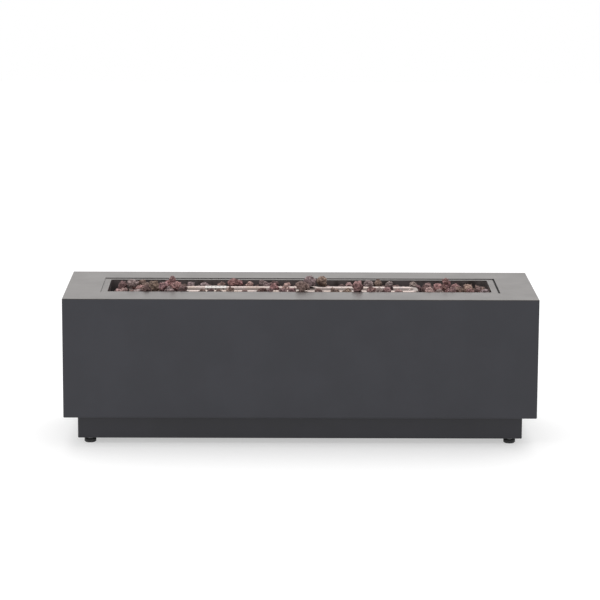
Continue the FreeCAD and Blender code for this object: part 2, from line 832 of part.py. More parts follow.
def electrode_insulator():
    """Ceramic sleeve with a shoulder that sits on the bracket."""
    shelf = pan_floor + bracket_height + bracket_sheet
    sleeve = rod(insulator_radius, (spark_x, 0, pan_floor + 5), (spark_x, 0, shelf + 12))
    sleeve = sleeve.fuse(rod(insulator_radius + 1.2, (spark_x, 0, shelf), (spark_x, 0, shelf + 3)))
    return sleeve.cut(rod(pin_radius + running, (spark_x, 0, pan_floor + 4),
                          (spark_x, 0, shelf + 13)))


def electrode_pin():
    """Wire that stands out of the ceramic and leans over towards the thermocouple's tip."""
    shelf = pan_floor + bracket_height + bracket_sheet
    points = [(spark_x, 0, pan_floor + 5), (spark_x, 0, shelf + 17), (spark_x + 7, 0, shelf + 20)]
    return swept(bent_path(points, 3.0), pin_radius)


def thermocouple():
    shelf = pan_floor + bracket_height + bracket_sheet
    tip = shelf + 19
    body = rod(thermocouple_radius, (sensor_x, 0, pan_floor + 5), (sensor_x, 0, tip - 4))
    body = body.fuse(rod(thermocouple_radius + 1.0, (sensor_x, 0, shelf), (sensor_x, 0, shelf + 4)))
    return body.fuse(cone(thermocouple_radius, 1.2, (sensor_x, 0, tip - 4), (sensor_x, 0, tip)))


def lead_grommets():
    """Two waisted rings in the pan's floor, each round one lead."""
    grommets = []
    for x, radius in ((spark_x, spark_lead_radius), (sensor_x, sensor_lead_radius)):
        bore = radius + running
        waist = grommet_radius() - running
        rim = grommet_rim()
        low, high = pan_under - 1.6, pan_floor + 1.6
        outline = [(bore, low), (rim, low), (rim, pan_under), (waist, pan_under),
                   (waist, pan_floor), (rim, pan_floor), (rim, high), (bore, high)]
        points = [Vector(x + r, 0, z) for r, z in outline]
        face = Part.Face(Part.makePolygon(points + points[:1]))
        grommets.append(face.revolve(Vector(x, 0, 0), Vector(0, 0, 1), 360))
    return Part.makeCompound(grommets)


def heat_shield():
    """Folded plate that hangs from the left top rail, between the pan and the controls."""
    section = [(shield_start, top_under - 4), (shield_start, shield_level),
               (shield_start + shield_length, shield_level)]
    face = folded_face(section, on_xz(-shield_width / 2), 1.0, 1.0)
    return face.extrude(Vector(0, shield_width, 0))


def control_pocket():
    """Pressed tray that closes the cut-out in the left end: tapered walls, a rim behind the wall
    panel, and holes for the valve's neck and the igniter's."""
    half_y, half_z = pocket_width / 2, pocket_height / 2
    front = -inner_x

    def block(inset, start, end):
        wires = []
        for x, shrink in ((start, 0.0), (end, pocket_taper)):
            less = inset + shrink
            wires.append(rounded_outline(on_yz(x), -half_y + less, half_y - less,
                                         pocket_middle - half_z + less,
                                         pocket_middle + half_z - less, pocket_corner - less))
        return Part.makeLoft(wires, True, True)

    rim = rounded_block(on_yz(front), -half_y - pocket_rim, half_y + pocket_rim,
                        pocket_middle - half_z - pocket_rim, pocket_middle + half_z + pocket_rim,
                        pocket_corner, Vector(pocket_sheet, 0, 0))
    shell = block(-pocket_sheet, front, pocket_inner).fuse(rim).cut(block(0, front, pocket_back))
    shell = shell.removeSplitter()
    for y, radius in ((valve_y, valve_neck_radius), (spark_y, button_radius + 2)):
        shell = shell.cut(rod(radius + loose, (pocket_back - 1, y, pocket_middle),
                              (pocket_inner + 1, y, pocket_middle)))
    return shell.cut(Part.makeCompound([rod(2.2, (front - 1, y, z), (front + 3, y, z))
                                        for y, z in pocket_stud_places()]))


def pocket_stud_places():
    y = pocket_width / 2 + pocket_rim / 2
    z = pocket_height / 2 - 14
    return [(sy * y, pocket_middle + sz * z) for sy in (-1, 1) for sz in (-1, 1)]


def pocket_studs():
    """Studs welded to the wall panel, which hold the pocket's rim."""
    return [rod(2.0, (-inner_x, y, z), (-inner_x + 9, y, z)) for y, z in pocket_stud_places()]


def pocket_nuts():
    nuts = []
    start = -inner_x + pocket_sheet
    for y, z in pocket_stud_places():
        nut = hexagon(7.0, (start, y, z), (start + 3.2, y, z))
        nuts.append(nut.cut(rod(2.0 + running, (start - 1, y, z), (start + 4, y, z))))
    return Part.makeCompound(nuts)


def valve_body():
    """Valve casting: a neck through the pocket, a barrel with the rotor's chamber, an outlet at
    its end, an inlet underneath and a side boss for the thermocouple."""
    z = pocket_middle
    start, end = pocket_inner, pocket_inner + valve_length
    body = rod(valve_radius, (start, valve_y, z), (end, valve_y, z))
    body = body.fuse(cone(valve_radius, 9.0, (end, valve_y, z), (end + 6, valve_y, z)))
    body = body.fuse(rod(valve_neck_radius, (start - valve_neck_length, valve_y, z),
                         (start + 1, valve_y, z)))
    body = body.fuse(hexagon(16.0, (end + 6, valve_y, z), (end + 18, valve_y, z)))
    middle = inlet_x
    body = body.fuse(rod(9.0, (middle, valve_y, z), (middle, valve_y, z - valve_radius - 8)))
    body = body.fuse(hexagon(16.0, (middle, valve_y, z - valve_radius - 18),
                             (middle, valve_y, z - valve_radius - 7)))
    side, height = sensor_boss()
    boss = rod(4.5, (end - 14, side, height), (end + 8, side, height))
    body = body.fuse(boss)
    chamber = start + 6
    body = body.cut(rod(rotor_radius + running, (chamber - 0.5, valve_y, z),
                        (chamber + rotor_length + 0.5, valve_y, z)))
    body = body.cut(rod(stem_radius + running, (start - valve_neck_length - 1, valve_y, z),
                        (chamber, valve_y, z)))
    body = body.cut(rod(pipe_radius + running, (end + 10, valve_y, z), (end + 19, valve_y, z)))
    body = body.cut(rod(sensor_lead_radius + running, (end + 4, side, height),
                        (end + 9, side, height)))
    return body.cut(rod(pipe_radius + running, (middle, valve_y, z - valve_radius - 19),
                        (middle, valve_y, z - valve_radius - 10)))


def sensor_boss():
    """Place of the thermocouple's boss on the valve, seen along the table."""
    return valve_y + valve_radius - 4, pocket_middle + 8


def valve_rotor():
    """Tapping plug of the valve, with a flatted socket for the stem and a port across it."""
    z = pocket_middle
    start = pocket_inner + 6
    rotor = rod(rotor_radius, (start, valve_y, z), (start + rotor_length, valve_y, z))
    socket = rod(tail_radius + running, (start - 1, valve_y, z), (start + 13, valve_y, z))
    flat = box(start - 1, start + 13, valve_y - 4, valve_y + 4, z + 2 + running, z + 4)
    rotor = rotor.cut(socket.cut(flat))
    return rotor.cut(rod(2.0, (start + 18, valve_y, z - 9), (start + 18, valve_y, z + 9)))


def valve_stem():
    """Stem with a flatted tail in the rotor, so that it turns the rotor and slides in it."""
    z = pocket_middle
    start = pocket_inner + 6
    tail_end = start + 13 - knob_travel - 1
    shoulder = start - 0.5 - knob_travel - 0.5
    tip = pocket_back - knob_lift - knob_length + 4
    stem = rod(stem_radius, (tip, valve_y, z), (shoulder, valve_y, z))
    tail = rod(tail_radius, (shoulder - 1, valve_y, z), (tail_end, valve_y, z))
    flat = box(shoulder, tail_end + 1, valve_y - 4, valve_y + 4, z + 2, z + 4)
    return stem.fuse(tail.cut(flat))


def valve_nut():
    z = pocket_middle
    nut = hexagon(17.0, (pocket_back - 4, valve_y, z), (pocket_back, valve_y, z))
    return nut.cut(rod(valve_neck_radius + running, (pocket_back - 5, valve_y, z),
                       (pocket_back + 1, valve_y, z)))


def control_knob():
    """Moulded knob: a skirt, a tapered grip with flutes, a pointer ridge and a hollow back."""
    z = pocket_middle
    back = pocket_back - knob_lift
    front = back - knob_length
    skirt = back - 4
    knob = rod(knob_radius, (back, valve_y, z), (skirt, valve_y, z))
    grip = cone(knob_radius - 3, knob_radius - 6, (skirt, valve_y, z), (front, valve_y, z))
    for step in range(knob_flutes):
        angle = 2 * math.pi * (step + 0.5) / knob_flutes
        y = valve_y + (knob_radius - 1.5) * math.cos(angle)
        height = z + (knob_radius - 1.5) * math.sin(angle)
        grip = grip.cut(rod(3.2, (skirt - 1.5, y, height), (front - 1, y, height)))
    knob = knob.fuse(grip)
    hollow = rod(valve_neck_radius + 6, (back + 1, valve_y, z), (back - 8, valve_y, z))
    knob = knob.cut(hollow)
    post = rod(stem_radius + 3, (back - knob_travel - 2, valve_y, z), (back - 9, valve_y, z))
    knob = knob.fuse(post)
    stem_hole = rod(stem_radius, (back + 1, valve_y, z), (front + 4, valve_y, z))
    pointer = box(front - 0.8, front + 1, valve_y - 1.2, valve_y + 1.2, z + 3, z + knob_radius - 7)
    return knob.cut(stem_hole).fuse(pointer).removeSplitter()


def spark_module():
    """Spark generator: a barrel behind the pocket, a neck through it and a terminal at the rear."""
    z = pocket_middle
    end = pocket_inner + spark_length
    neck = pocket_back - collar_height - 2
    bore_end = neck - button_proud + button_length + button_travel + 1
    body = rod(spark_radius, (pocket_inner, spark_y, z), (end, spark_y, z))
    body = body.fuse(rod(button_radius + 2, (neck, spark_y, z), (pocket_inner + 1, spark_y, z)))
    body = body.fuse(rod(4.0, (end - 1, spark_y, z), (end + 8, spark_y, z)))
    body = body.cut(rod(button_radius + running, (neck - 1, spark_y, z), (bore_end, spark_y, z)))
    return body.cut(rod(spark_lead_radius + running, (end + 3, spark_y, z),
                        (end + 9, spark_y, z)))


def spark_collar():
    """Knurled ring that clamps the spark module to the pocket."""
    z = pocket_middle
    start = pocket_back - collar_height
    ring = rod(collar_radius, (start, spark_y, z), (pocket_back, spark_y, z))
    edges = [e for e in ring.Edges if all(abs(v.X - start) < 1e-6 for v in e.Vertexes)]
    ring = ring.makeChamfer(1.0, edges)
    return ring.cut(rod(button_radius + 2 + running, (start - 1, spark_y, z),
                        (pocket_back + 1, spark_y, z)))


def spark_button():
    """Push button with a dished front."""
    z = pocket_middle
    neck = pocket_back - collar_height - 2
    start = neck - button_proud
    button = rod(button_radius, (start, spark_y, z), (start + button_length, spark_y, z))
    edges = [e for e in button.Edges if all(abs(v.X - start) < 1e-6 for v in e.Vertexes)]
    button = button.makeFillet(1.0, edges)
    dish = Part.makeSphere(22.0, Vector(start - 21.2, spark_y, z))
    return button.cut(dish)


def gas_pipe():
    """Pipe from the valve's outlet to the orifice elbow, with a shallow set in it."""
    z = pocket_middle
    start = pocket_inner + valve_length + 10.5
    end = pan_offset - elbow_size / 2 - 4.5
    points = [(start, valve_y, z), (start + 70, valve_y, z), (start + 190, 0, elbow_middle),
              (end, 0, elbow_middle)]
    return bored_pipe(points)


def inlet_pipe():
    """Pipe from the inlet at the rear of the plinth up to the valve."""
    start = half_depth - plinth_inset - sheet - 6
    end = pocket_middle - valve_radius - 10.5
    points = [(inlet_x, start, inlet_height), (inlet_x, valve_y, inlet_height),
              (inlet_x, valve_y, end)]
    return bored_pipe(points)


def bored_pipe(points):
    path = bent_path(points, pipe_bend)
    outside = swept(path, pipe_radius)
    print("pipe", round(path.Length), "long, volume over section times length",
          round(outside.Volume / (math.pi * pipe_radius ** 2 * path.Length), 4))
    return outside.cut(swept(bent_path(points, pipe_bend), pipe_radius - pipe_wall))


def gas_inlet():
    """Bulkhead flare fitting in the plinth's rear wall, where a hose is screwed on."""
    z = inlet_height
    face = half_depth - plinth_inset
    fitting = hexagon(22.0, (inlet_x, face, z), (inlet_x, face + 5, z))
    fitting = fitting.fuse(rod(flare_radius, (inlet_x, face - 14, z),
                               (inlet_x, face + 5 + flare_length, z)))
    tip = face + 5 + flare_length
    fitting = fitting.fuse(cone(flare_radius, 5.0, (inlet_x, tip, z), (inlet_x, tip + 3, z)))
    fitting = fitting.cut(rod(3.2, (inlet_x, face - 20, z), (inlet_x, tip + 4, z)))
    return fitting.cut(rod(pipe_radius + running, (inlet_x, face - 15, z),
                           (inlet_x, face - 7.5, z)))


def inlet_nut():
    z = inlet_height
    face = half_depth - plinth_inset - sheet
    nut = hexagon(22.0, (inlet_x, face - 5, z), (inlet_x, face, z))
    return nut.cut(rod(flare_radius + running, (inlet_x, face - 6, z), (inlet_x, face + 1, z)))


def spark_lead():
    """Ignition cable from the spark module through its clip and up to the electrode."""
    end = pocket_inner + spark_length + 3.5
    span = spark_x - clip_x
    return lead([(spark_x, 0, pan_floor + 4.5), (spark_x, 0, pan_under - 14),
                 (spark_x - 14, 2, pan_under - 27), (spark_x - 0.25 * span, 9, pan_under - 30),
                 (clip_x + 0.435 * span, spark_clip_y - 3, lead_level - 3),
                 (clip_x + 28, spark_clip_y, lead_level),
                 (clip_x - 28, spark_clip_y, lead_level), (clip_x - 70, 24, lead_level - 4),
                 (end + 43, spark_y, pocket_middle + 1), (end, spark_y, pocket_middle)],
                spark_lead_radius)


def sensor_lead():
    """Capillary of the thermocouple, which ends in the valve's side boss."""
    end = pocket_inner + valve_length + 8
    y, z = sensor_boss()
    span = sensor_x - clip_x
    return lead([(sensor_x, 0, pan_floor + 4.5), (sensor_x, 0, pan_under - 17),
                 (sensor_x - 18, -3, pan_under - 33), (sensor_x - 0.3 * span, -6, pan_under - 34),
                 (clip_x + 0.41 * span, sensor_clip_y, lead_level - 3.5),
                 (clip_x + 28, sensor_clip_y, lead_level),
                 (clip_x - 28, sensor_clip_y, lead_level),
                 (clip_x - 68, sensor_clip_y - 2, lead_level - 3),
                 (end + 40, y, z + 1), (end, y, z)], sensor_lead_radius)


def lead_clips():
    """Two clips hung under the heat shield, each a ring round one lead with a flange above."""
    clips = []
    for y, radius in ((spark_clip_y, spark_lead_radius), (sensor_clip_y, sensor_lead_radius)):
        outer = radius + 0.1 + clip_sheet
        start = clip_x - clip_width / 2
        clip = rod(outer, (start, y, lead_level), (start + clip_width, y, lead_level))
        clip = clip.fuse(box(start, start + clip_width, y - clip_sheet / 2, y + clip_sheet / 2,
                             lead_level, shield_level))
        clip = clip.fuse(box(start, start + clip_width, y - clip_sheet / 2, y + 9,
                             shield_level - clip_sheet, shield_level))
        clips.append(clip.cut(rod(radius + 0.1, (start - 1, y, lead_level),
                                  (start + clip_width + 1, y, lead_level))))
    return Part.makeCompound(clips)


def lead(points, radius):
    path = bent_path(points, lead_radii(points, 2 * radius))
    shape = swept(path, radius)
    print("lead", round(path.Length), "long, volume over section times length",
          round(shape.Volume / (math.pi * radius ** 2 * path.Length), 4))
    return shape


def burner_segments():
    """Straight pieces of the burner's centre line, its round corners in three pieces each."""
    marks = []
    for sx, sy in ((1, 1), (-1, 1), (-1, -1), (1, -1)):
        for step in range(4):
            angle = math.radians(30 * step)
            u, v = math.cos(angle), math.sin(angle)
            if sx * sy < 0:
                u, v = v, u
            marks.append((sx * (leg_x - burner_corner + burner_corner * u),
                          sy * (leg_y - burner_corner + burner_corner * v)))
    pairs = list(zip(marks, marks[1:] + marks[:1]))
    pairs.append(((0.0, -leg_y), (0.0, leg_y)))
    return [(a, b, burner_middle, tube_radius + 0.4) for a, b in pairs]


def keep_out_boxes():
    """Hood, saddles and hub, as boxes that no rock enters: low and high corners."""
    half = hood_width / 2 + hood_foot
    hood = hood_x - pan_offset
    boxes = [((hood - hood_length / 2, -half, pan_floor), (hood + hood_length / 2, half, hood_top))]
    for side in (-1, 1):
        near, far = sorted((side * saddle_x, side * (saddle_x + saddle_foot)))
        reach = burner_width / 2 + 4
        boxes.append(((near, -reach, pan_floor), (far, reach, burner_middle)))
    boxes.append(((-hub_radius, -hub_radius, pan_floor), (hub_radius, hub_radius, burner_middle)))
    return boxes


def nearest_points(x, y, z):
    """Nearest point of each fixed obstacle to a place, with the obstacle's own radius there."""
    found = []
    for (ax, ay), (bx, by), level, radius in burner_segments():
        dx, dy = bx - ax, by - ay
        share = ((x - ax) * dx + (y - ay) * dy) / (dx * dx + dy * dy)
        share = min(1.0, max(0.0, share))
        found.append((ax + share * dx, ay + share * dy, level, radius))
    for low, high in keep_out_boxes():
        spot = [min(max(value, a), b) for value, a, b in zip((x, y, z), low, high)]
        found.append((spot[0], spot[1], spot[2], 0.0))
    return found


def rest_height(x, y, radius, balls):
    """Height at which a ball that comes straight down first touches something."""
    height = pan_floor + rock_gap + radius
    for px, py, level, size in nearest_points(x, y, table_height + 100):
        reach = radius + size + rock_gap
        gap = math.hypot(x - px, y - py)
        if gap < reach:
            height = max(height, level + math.sqrt(reach * reach - gap * gap))
    for bx, by, bz, size in balls:
        reach = radius + size
        gap = math.hypot(x - bx, y - by)
        if gap < reach:
            height = max(height, bz + math.sqrt(reach * reach - gap * gap))
    return height


def rock_heaps():
    """Heaps of rock along the pan, in the order they are laid: from and to in x, from and to in
    y, number of rocks, least and largest ball radius, and the most they stand above the table."""
    return [
        (-498, -300, -84, 84, 19, 15, 17, -2),
        (336, 512, -84, 84, 16, 15, 17, -2),
        (8, 8, -42, -42, 1, 16, 16, 24),
        (30, 30, 22, 22, 1, 16, 16, 30),
        (159, 159, -42, -42, 1, 15, 15, 20),
        (-318, -318, -43, -43, 1, 13, 13, 14),
        (-295, -295, -45, -45, 1, 13, 13, 12),
        (-182, -182, 70, 70, 1, 15, 15, -2),
        (-182, -182, 56, 56, 1, 13, 13, 18),
        (-284, -262, -48, -48, 2, 10, 11, 1),
        (-252, -208, -46, -46, 3, 9, 9, 1),
        (-188, -188, -48, -48, 1, 12, 12, 10),
        (-150, -150, -48, -48, 1, 10, 10, 4),
        (-102, -102, -50, -50, 1, 13, 13, 12),
        (-82, -14, -50, -48, 3, 12, 13, 8),
        (34, 62, -50, -48, 1, 12, 12, 8),
        (82, 136, -50, -48, 3, 12, 13, 8),
        (180, 246, -50, -48, 3, 12, 14, 8),
        (268, 268, -47, -47, 1, 10, 10, 8),
        (290, 290, -50, -50, 1, 13, 13, 8),
        (-296, 330, 48, 84, 15, 13, 16, -2),
        (-296, 330, -84, -52, 12, 13, 15, -6),
        (-94, 318, -13, 13, 14, 12, 13, -6),
        (-456, -456, 8, 8, 1, 13, 13, 24),
        (-398, -398, -6, -6, 1, 15, 15, 22),
        (-344, -344, -6, -6, 1, 16, 16, 26),
        (-358, -358, 14, 14, 1, 10, 10, 38),
        (350, 350, -8, -8, 1, 14, 14, 16),
        (392, 392, 10, 10, 1, 13, 13, 22),
        (401, 401, 18, 18, 1, 9, 9, 36),
        (484, 484, 14, 14, 1, 16, 16, 14),
        (-494, -476, -50, 30, 3, 11, 13, 4),
        (-474, -432, -60, 50, 5, 11, 13, 10),
        (-426, -382, -60, 50, 6, 11, 14, 12),
        (-380, -322, -60, 40, 6, 11, 14, 12),
        (-358, -346, 0, 26, 1, 9, 9, 33),
        (-346, -346, -50, -50, 1, 13, 13, 12),
        (-322, -292, 42, 70, 1, 10, 12, 5),
        (-284, -206, 50, 80, 4, 9, 12, 2),
        (-136, -136, 58, 58, 1, 12, 12, 15),
        (-172, -96, 50, 80, 3, 8, 10, 4),
        (-82, -60, -4, 12, 2, 12, 13, 8),
        (-92, -28, 24, 74, 5, 10, 12, 5),
        (-84, -14, -62, -44, 3, 9, 12, 6),
        (-50, -20, -24, 6, 2, 11, 12, 6),
        (63, 63, 44, 44, 1, 15, 15, 24),
        (32, 62, -62, -44, 2, 9, 11, 4),
        (84, 140, 50, 80, 4, 8, 11, 4),
        (82, 138, -62, -44, 3, 9, 12, 6),
        (141, 141, -30, -30, 1, 10, 10, 10),
        (180, 246, -62, -44, 3, 9, 12, 6),
        (186, 220, 44, 72, 3, 11, 13, 12),
        (188, 206, -40, -20, 2, 11, 12, 12),
        (232, 248, 0, 40, 1, 10, 11, 4),
        (226, 318, 50, 80, 6, 9, 11, 5),
        (346, 370, -60, 50, 5, 11, 13, 8),
        (376, 412, -60, 50, 5, 11, 13, 12),
        (412, 436, -60, 50, 4, 11, 13, 6),
        (438, 466, -66, 50, 6, 10, 13, 4),
        (466, 512, -66, -14, 4, 10, 13, 4),
        (-94, 318, -16, 16, 8, 9, 11, -8),
    ]


def rock_balls():
    """Balls, one per rock, each laid where it touches the pan, the burner or earlier balls. A
    rock tries several places and takes the lowest, or is left out if that is above its heap."""
    draw = random.Random(rock_seed)
    balls = []
    for x_from, x_to, y_from, y_to, count, least, most, crest in rock_heaps():
        for _ in range(count):
            radius = draw.uniform(least, most)
            reach_x, reach_y = rock_room_x - radius, rock_room_y - radius
            best = None
            for _ in range(rock_tries):
                x = min(reach_x, max(-reach_x, draw.uniform(x_from, x_to)))
                y = min(reach_y, max(-reach_y, draw.uniform(y_from, y_to)))
                z = rest_height(x, y, radius, balls)
                if best is None or z < best[2]:
                    best = (x, y, z, radius)
            if best[2] + radius < table_height + crest:
                balls.append(best)
    return balls


def cut_faces(faces, normal, offset):
    """Faces of a convex body cut by a plane, keeping the side that the normal points away from."""
    kept, rim = [], []
    for face in faces:
        heights = [sum(a * b for a, b in zip(normal, point)) - offset for point in face]
        part = []
        for index, point in enumerate(face):
            before, height = heights[index - 1], heights[index]
            if (before < 0) != (height < 0):
                share = before / (before - height)
                crossing = tuple(a + (b - a) * share for a, b in zip(face[index - 1], point))
                part.append(crossing)
                rim.append(crossing)
            if height < 0:
                part.append(point)
        if part:
            kept.append(part)
    if not rim:
        return kept
    middle = Vector(*[sum(point[axis] for point in rim) / len(rim) for axis in range(3)])
    axis = Vector(*normal)
    first = (Vector(*rim[0]) - middle).normalize()
    second = axis.cross(first)
    ordered = sorted(rim, key=lambda point: math.atan2((Vector(*point) - middle).dot(second),
                                                       (Vector(*point) - middle).dot(first)))
    lid = [point for index, point in enumerate(ordered) if math.dist(point, ordered[index - 1]) > 1e-6]
    return kept + [lid]


def shortest_edge(faces):
    return min(math.dist(face[index - 1], face[index])
               for face in faces for index in range(len(face)))


def trimmed(faces, normal, offset, step, tries):
    """Cuts by a plane, moved by small steps while the cut leaves an edge too short to see."""
    cut = cut_faces(faces, normal, offset)
    while tries and len(cut) > 3 and shortest_edge(cut) < rock_edge:
        tries -= 1
        offset += step
        cut = cut_faces(faces, normal, offset)
    return cut


def seat_planes(ball, balls):
    """Planes between a rock and all it could touch: other rocks, burner, hood, floor, walls."""
    x, y, z, radius = ball
    planes = []
    for other in balls:
        line = Vector(other[0] - x, other[1] - y, other[2] - z)
        gap = line.Length
        if other is not ball and gap < 1.6 * (radius + other[3]):
            share = (gap * gap + radius ** 2 - other[3] ** 2) / (2 * gap)
            planes.append((tuple(line / gap), share - rock_gap / 2))
    for px, py, pz, size in nearest_points(x, y, z):
        line = Vector(px - x, py - y, pz - z)
        gap = line.Length
        planes.append((tuple(line / gap), gap - size - rock_gap))
    planes.append(((0.0, 0.0, -1.0), z - pan_floor - rock_gap))
    for side in (-1.0, 1.0):
        planes.append(((side, 0.0, 0.0), rock_room_x - side * x))
        planes.append(((0.0, side, 0.0), rock_room_y - side * y))
    return sorted((offset, normal) for normal, offset in planes if offset < 1.6 * radius)


def rough_planes(radius, draw):
    """Facets of a broken rock: planes turned evenly about it, at uneven distances."""
    planes = []
    stretch = Vector(draw.uniform(0.95, 1.25), draw.uniform(0.95, 1.25), draw.uniform(0.9, 1.1))
    spin = FreeCAD.Rotation(draw.uniform(0, 360), draw.uniform(0, 360), draw.uniform(0, 360))
    for step in range(rock_faces):
        rise = 1 - (2 * step + 1) / rock_faces
        around = step * math.pi * (3 - math.sqrt(5)) + draw.uniform(-0.35, 0.35)
        flat = math.sqrt(1 - rise * rise)
        way = spin.multVec(Vector(flat * math.cos(around), flat * math.sin(around), rise))
        size = math.sqrt(sum((a * b) ** 2 for a, b in zip(way, stretch)))
        planes.append((radius * max(1.01, size * draw.uniform(0.96, 1.08)), tuple(way)))
    return planes


def rock_solid(ball, balls, draw):
    reach = 1.6 * ball[3]
    signs = (-reach, reach)
    corners = [(a, b, c) for a in signs for b in signs for c in signs]
    faces = [[corners[index] for index in face] for face in (
        (0, 1, 3, 2), (4, 6, 7, 5), (0, 4, 5, 1), (2, 3, 7, 6), (0, 2, 6, 4), (1, 5, 7, 3))]
    for offset, normal in seat_planes(ball, balls):
        faces = trimmed(faces, normal, offset, -0.1, 3)
    for offset, normal in rough_planes(ball[3], draw):
        faces = trimmed(faces, normal, offset, 0.15, 20)
    middle = Vector(ball[0] + pan_offset, ball[1], ball[2])
    sides = []
    for face in faces:
        points = [middle + Vector(*point) for point in face]
        sides.append(Part.Face(Part.makePolygon(points + points[:1])))
    shell = Part.makeShell(sides)
    shell.sewShape()
    solid = Part.makeSolid(shell)
    if solid.Volume < 0:
        solid.reverse()
    return solid


def lava_rocks():
    """Rocks in order along the pan, in one group for each stretch of it."""
    balls = rock_balls()
    draw = random.Random(rock_seed + 1)
    groups = [[] for _ in rock_stretches]
    for ball in balls:
        index = sum(ball[0] > limit for limit in rock_stretches[1:])
        groups[index].append(rock_solid(ball, balls, draw))
    tops = [max(solid.BoundBox.ZMax for solid in group) for group in groups]
    print("rocks", [len(group) for group in groups], "tops", [round(top) for top in tops])
    return [Part.makeCompound(group) for group in groups]


def build():
    os.makedirs("parts", exist_ok=True)
    sides = ("front", "rear", "left", "right")
    nodes = {"casing_" + side: wall for side, wall in zip(sides, casing())}
    nodes.update({"plinth_" + side: wall for side, wall in zip(sides, plinth())})
    for maker in (top_panel, top_rails, base_rails, corner_posts, access_cover, access_screws,
                  plinth_fasteners, foot_gussets, foot_nuts, burner_pan, burner_loop,
                  burner_saddles, burner_nipple, pan_lock_nut, air_mixer, orifice_elbow,
                  igniter_hood, igniter_bracket, electrode_insulator, electrode_pin,
                  thermocouple, lead_grommets, heat_shield, control_pocket, pocket_nuts,
                  valve_body, valve_rotor, valve_stem, valve_nut, control_knob, spark_module,
                  spark_collar, spark_button, gas_pipe, inlet_pipe, gas_inlet, inlet_nut,
                  spark_lead, sensor_lead, lead_clips):
        nodes[maker.__name__] = maker()
    for name, (x, y) in foot_places().items():
        nodes["foot_pad_" + name] = foot_pad(x, y)
        nodes["foot_stud_" + name] = foot_stud(x, y)
    for index, group in enumerate(lava_rocks()):
        nodes["lava_rocks_" + str(index + 1)] = group
    for name, shape in nodes.items():
        shape.exportStep("parts/" + name + ".step")
    print(len(nodes), "nodes")


build()
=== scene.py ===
# %% [markdown]
# # A long gas fire table with lava rock
# The real object is a low, folded steel casing on a set-back plinth. A pan of lava rock hangs in
# its top, with a loop of stainless tube for the flames and a small perforated hood over the
# igniter. The solid pieces come from the CAD model and keep their shapes. This script gives each of
# them a finish, and makes a rough, porous surface for every rock, because rocks are the one thing
# here that flat facets cannot stand for.

# %% Load the solids and measure them
import math

import bpy
import numpy as np
from mathutils import Matrix, Vector


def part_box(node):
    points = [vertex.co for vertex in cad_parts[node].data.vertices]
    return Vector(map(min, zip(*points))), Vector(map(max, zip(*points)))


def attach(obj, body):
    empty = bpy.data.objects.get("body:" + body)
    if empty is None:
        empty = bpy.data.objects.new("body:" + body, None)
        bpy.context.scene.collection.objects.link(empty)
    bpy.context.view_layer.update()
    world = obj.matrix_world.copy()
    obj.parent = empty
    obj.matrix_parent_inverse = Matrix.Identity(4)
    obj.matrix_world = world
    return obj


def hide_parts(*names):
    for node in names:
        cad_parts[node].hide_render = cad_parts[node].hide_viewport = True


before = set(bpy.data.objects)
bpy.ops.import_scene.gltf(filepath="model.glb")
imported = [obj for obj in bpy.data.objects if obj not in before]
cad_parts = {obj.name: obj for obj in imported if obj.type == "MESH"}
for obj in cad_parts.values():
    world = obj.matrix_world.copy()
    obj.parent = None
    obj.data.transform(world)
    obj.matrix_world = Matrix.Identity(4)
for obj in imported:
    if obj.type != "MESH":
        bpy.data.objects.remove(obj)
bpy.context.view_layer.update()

# %% [markdown]
# ## Where the camera stands
# The photograph was taken from a good way off with a long lens, a little above the table, so the
# short ends hardly show and the top is a thin band. Such a view could be framed by eye, but a few
# pixels matter here. The place and the lens were worked out instead from the corners of the casing,
# the opening and the plinth, as angles and a distance, and the camera is built from its own three
# axes so that each number keeps its meaning.

# %% Camera
photo_width = 600
focal_length_in_pixels = 2537.5
camera_place = (-0.0656, -6.8225, 1.6887)
pitch, yaw, roll = math.radians(10.977), math.radians(-0.547), math.radians(0.276)

level_ahead = Vector((-math.sin(yaw), math.cos(yaw), 0))
level_right = Vector((math.cos(yaw), math.sin(yaw), 0))
zenith = Vector((0, 0, 1))
ahead = level_ahead * math.cos(pitch) - zenith * math.sin(pitch)
upward = level_ahead * math.sin(pitch) + zenith * math.cos(pitch)
camera_right = level_right * math.cos(roll) + upward * math.sin(roll)
camera_up = upward * math.cos(roll) - level_right * math.sin(roll)

camera = bpy.data.objects.new("camera", bpy.data.cameras.new("camera"))
bpy.context.scene.collection.objects.link(camera)
turn = Matrix((camera_right, camera_up, -ahead)).transposed().to_4x4()
camera.matrix_world = Matrix.Translation(camera_place) @ turn
camera.data.sensor_width = 36.0
camera.data.lens = focal_length_in_pixels * camera.data.sensor_width / photo_width
bpy.context.scene.camera = camera
bpy.context.scene.view_settings.view_transform = "Standard"
print("lens", round(camera.data.lens, 1), "mm")

# %% [markdown]
# ## Writing shaders as sums
# A finish is a small formula: some noise, a mask, a mix of two colours. In the shader editor each
# step is a node with wires. The class below wraps one output socket, so that adding or multiplying
# two of them adds the Math node that does it, and one method makes every other kind of node.

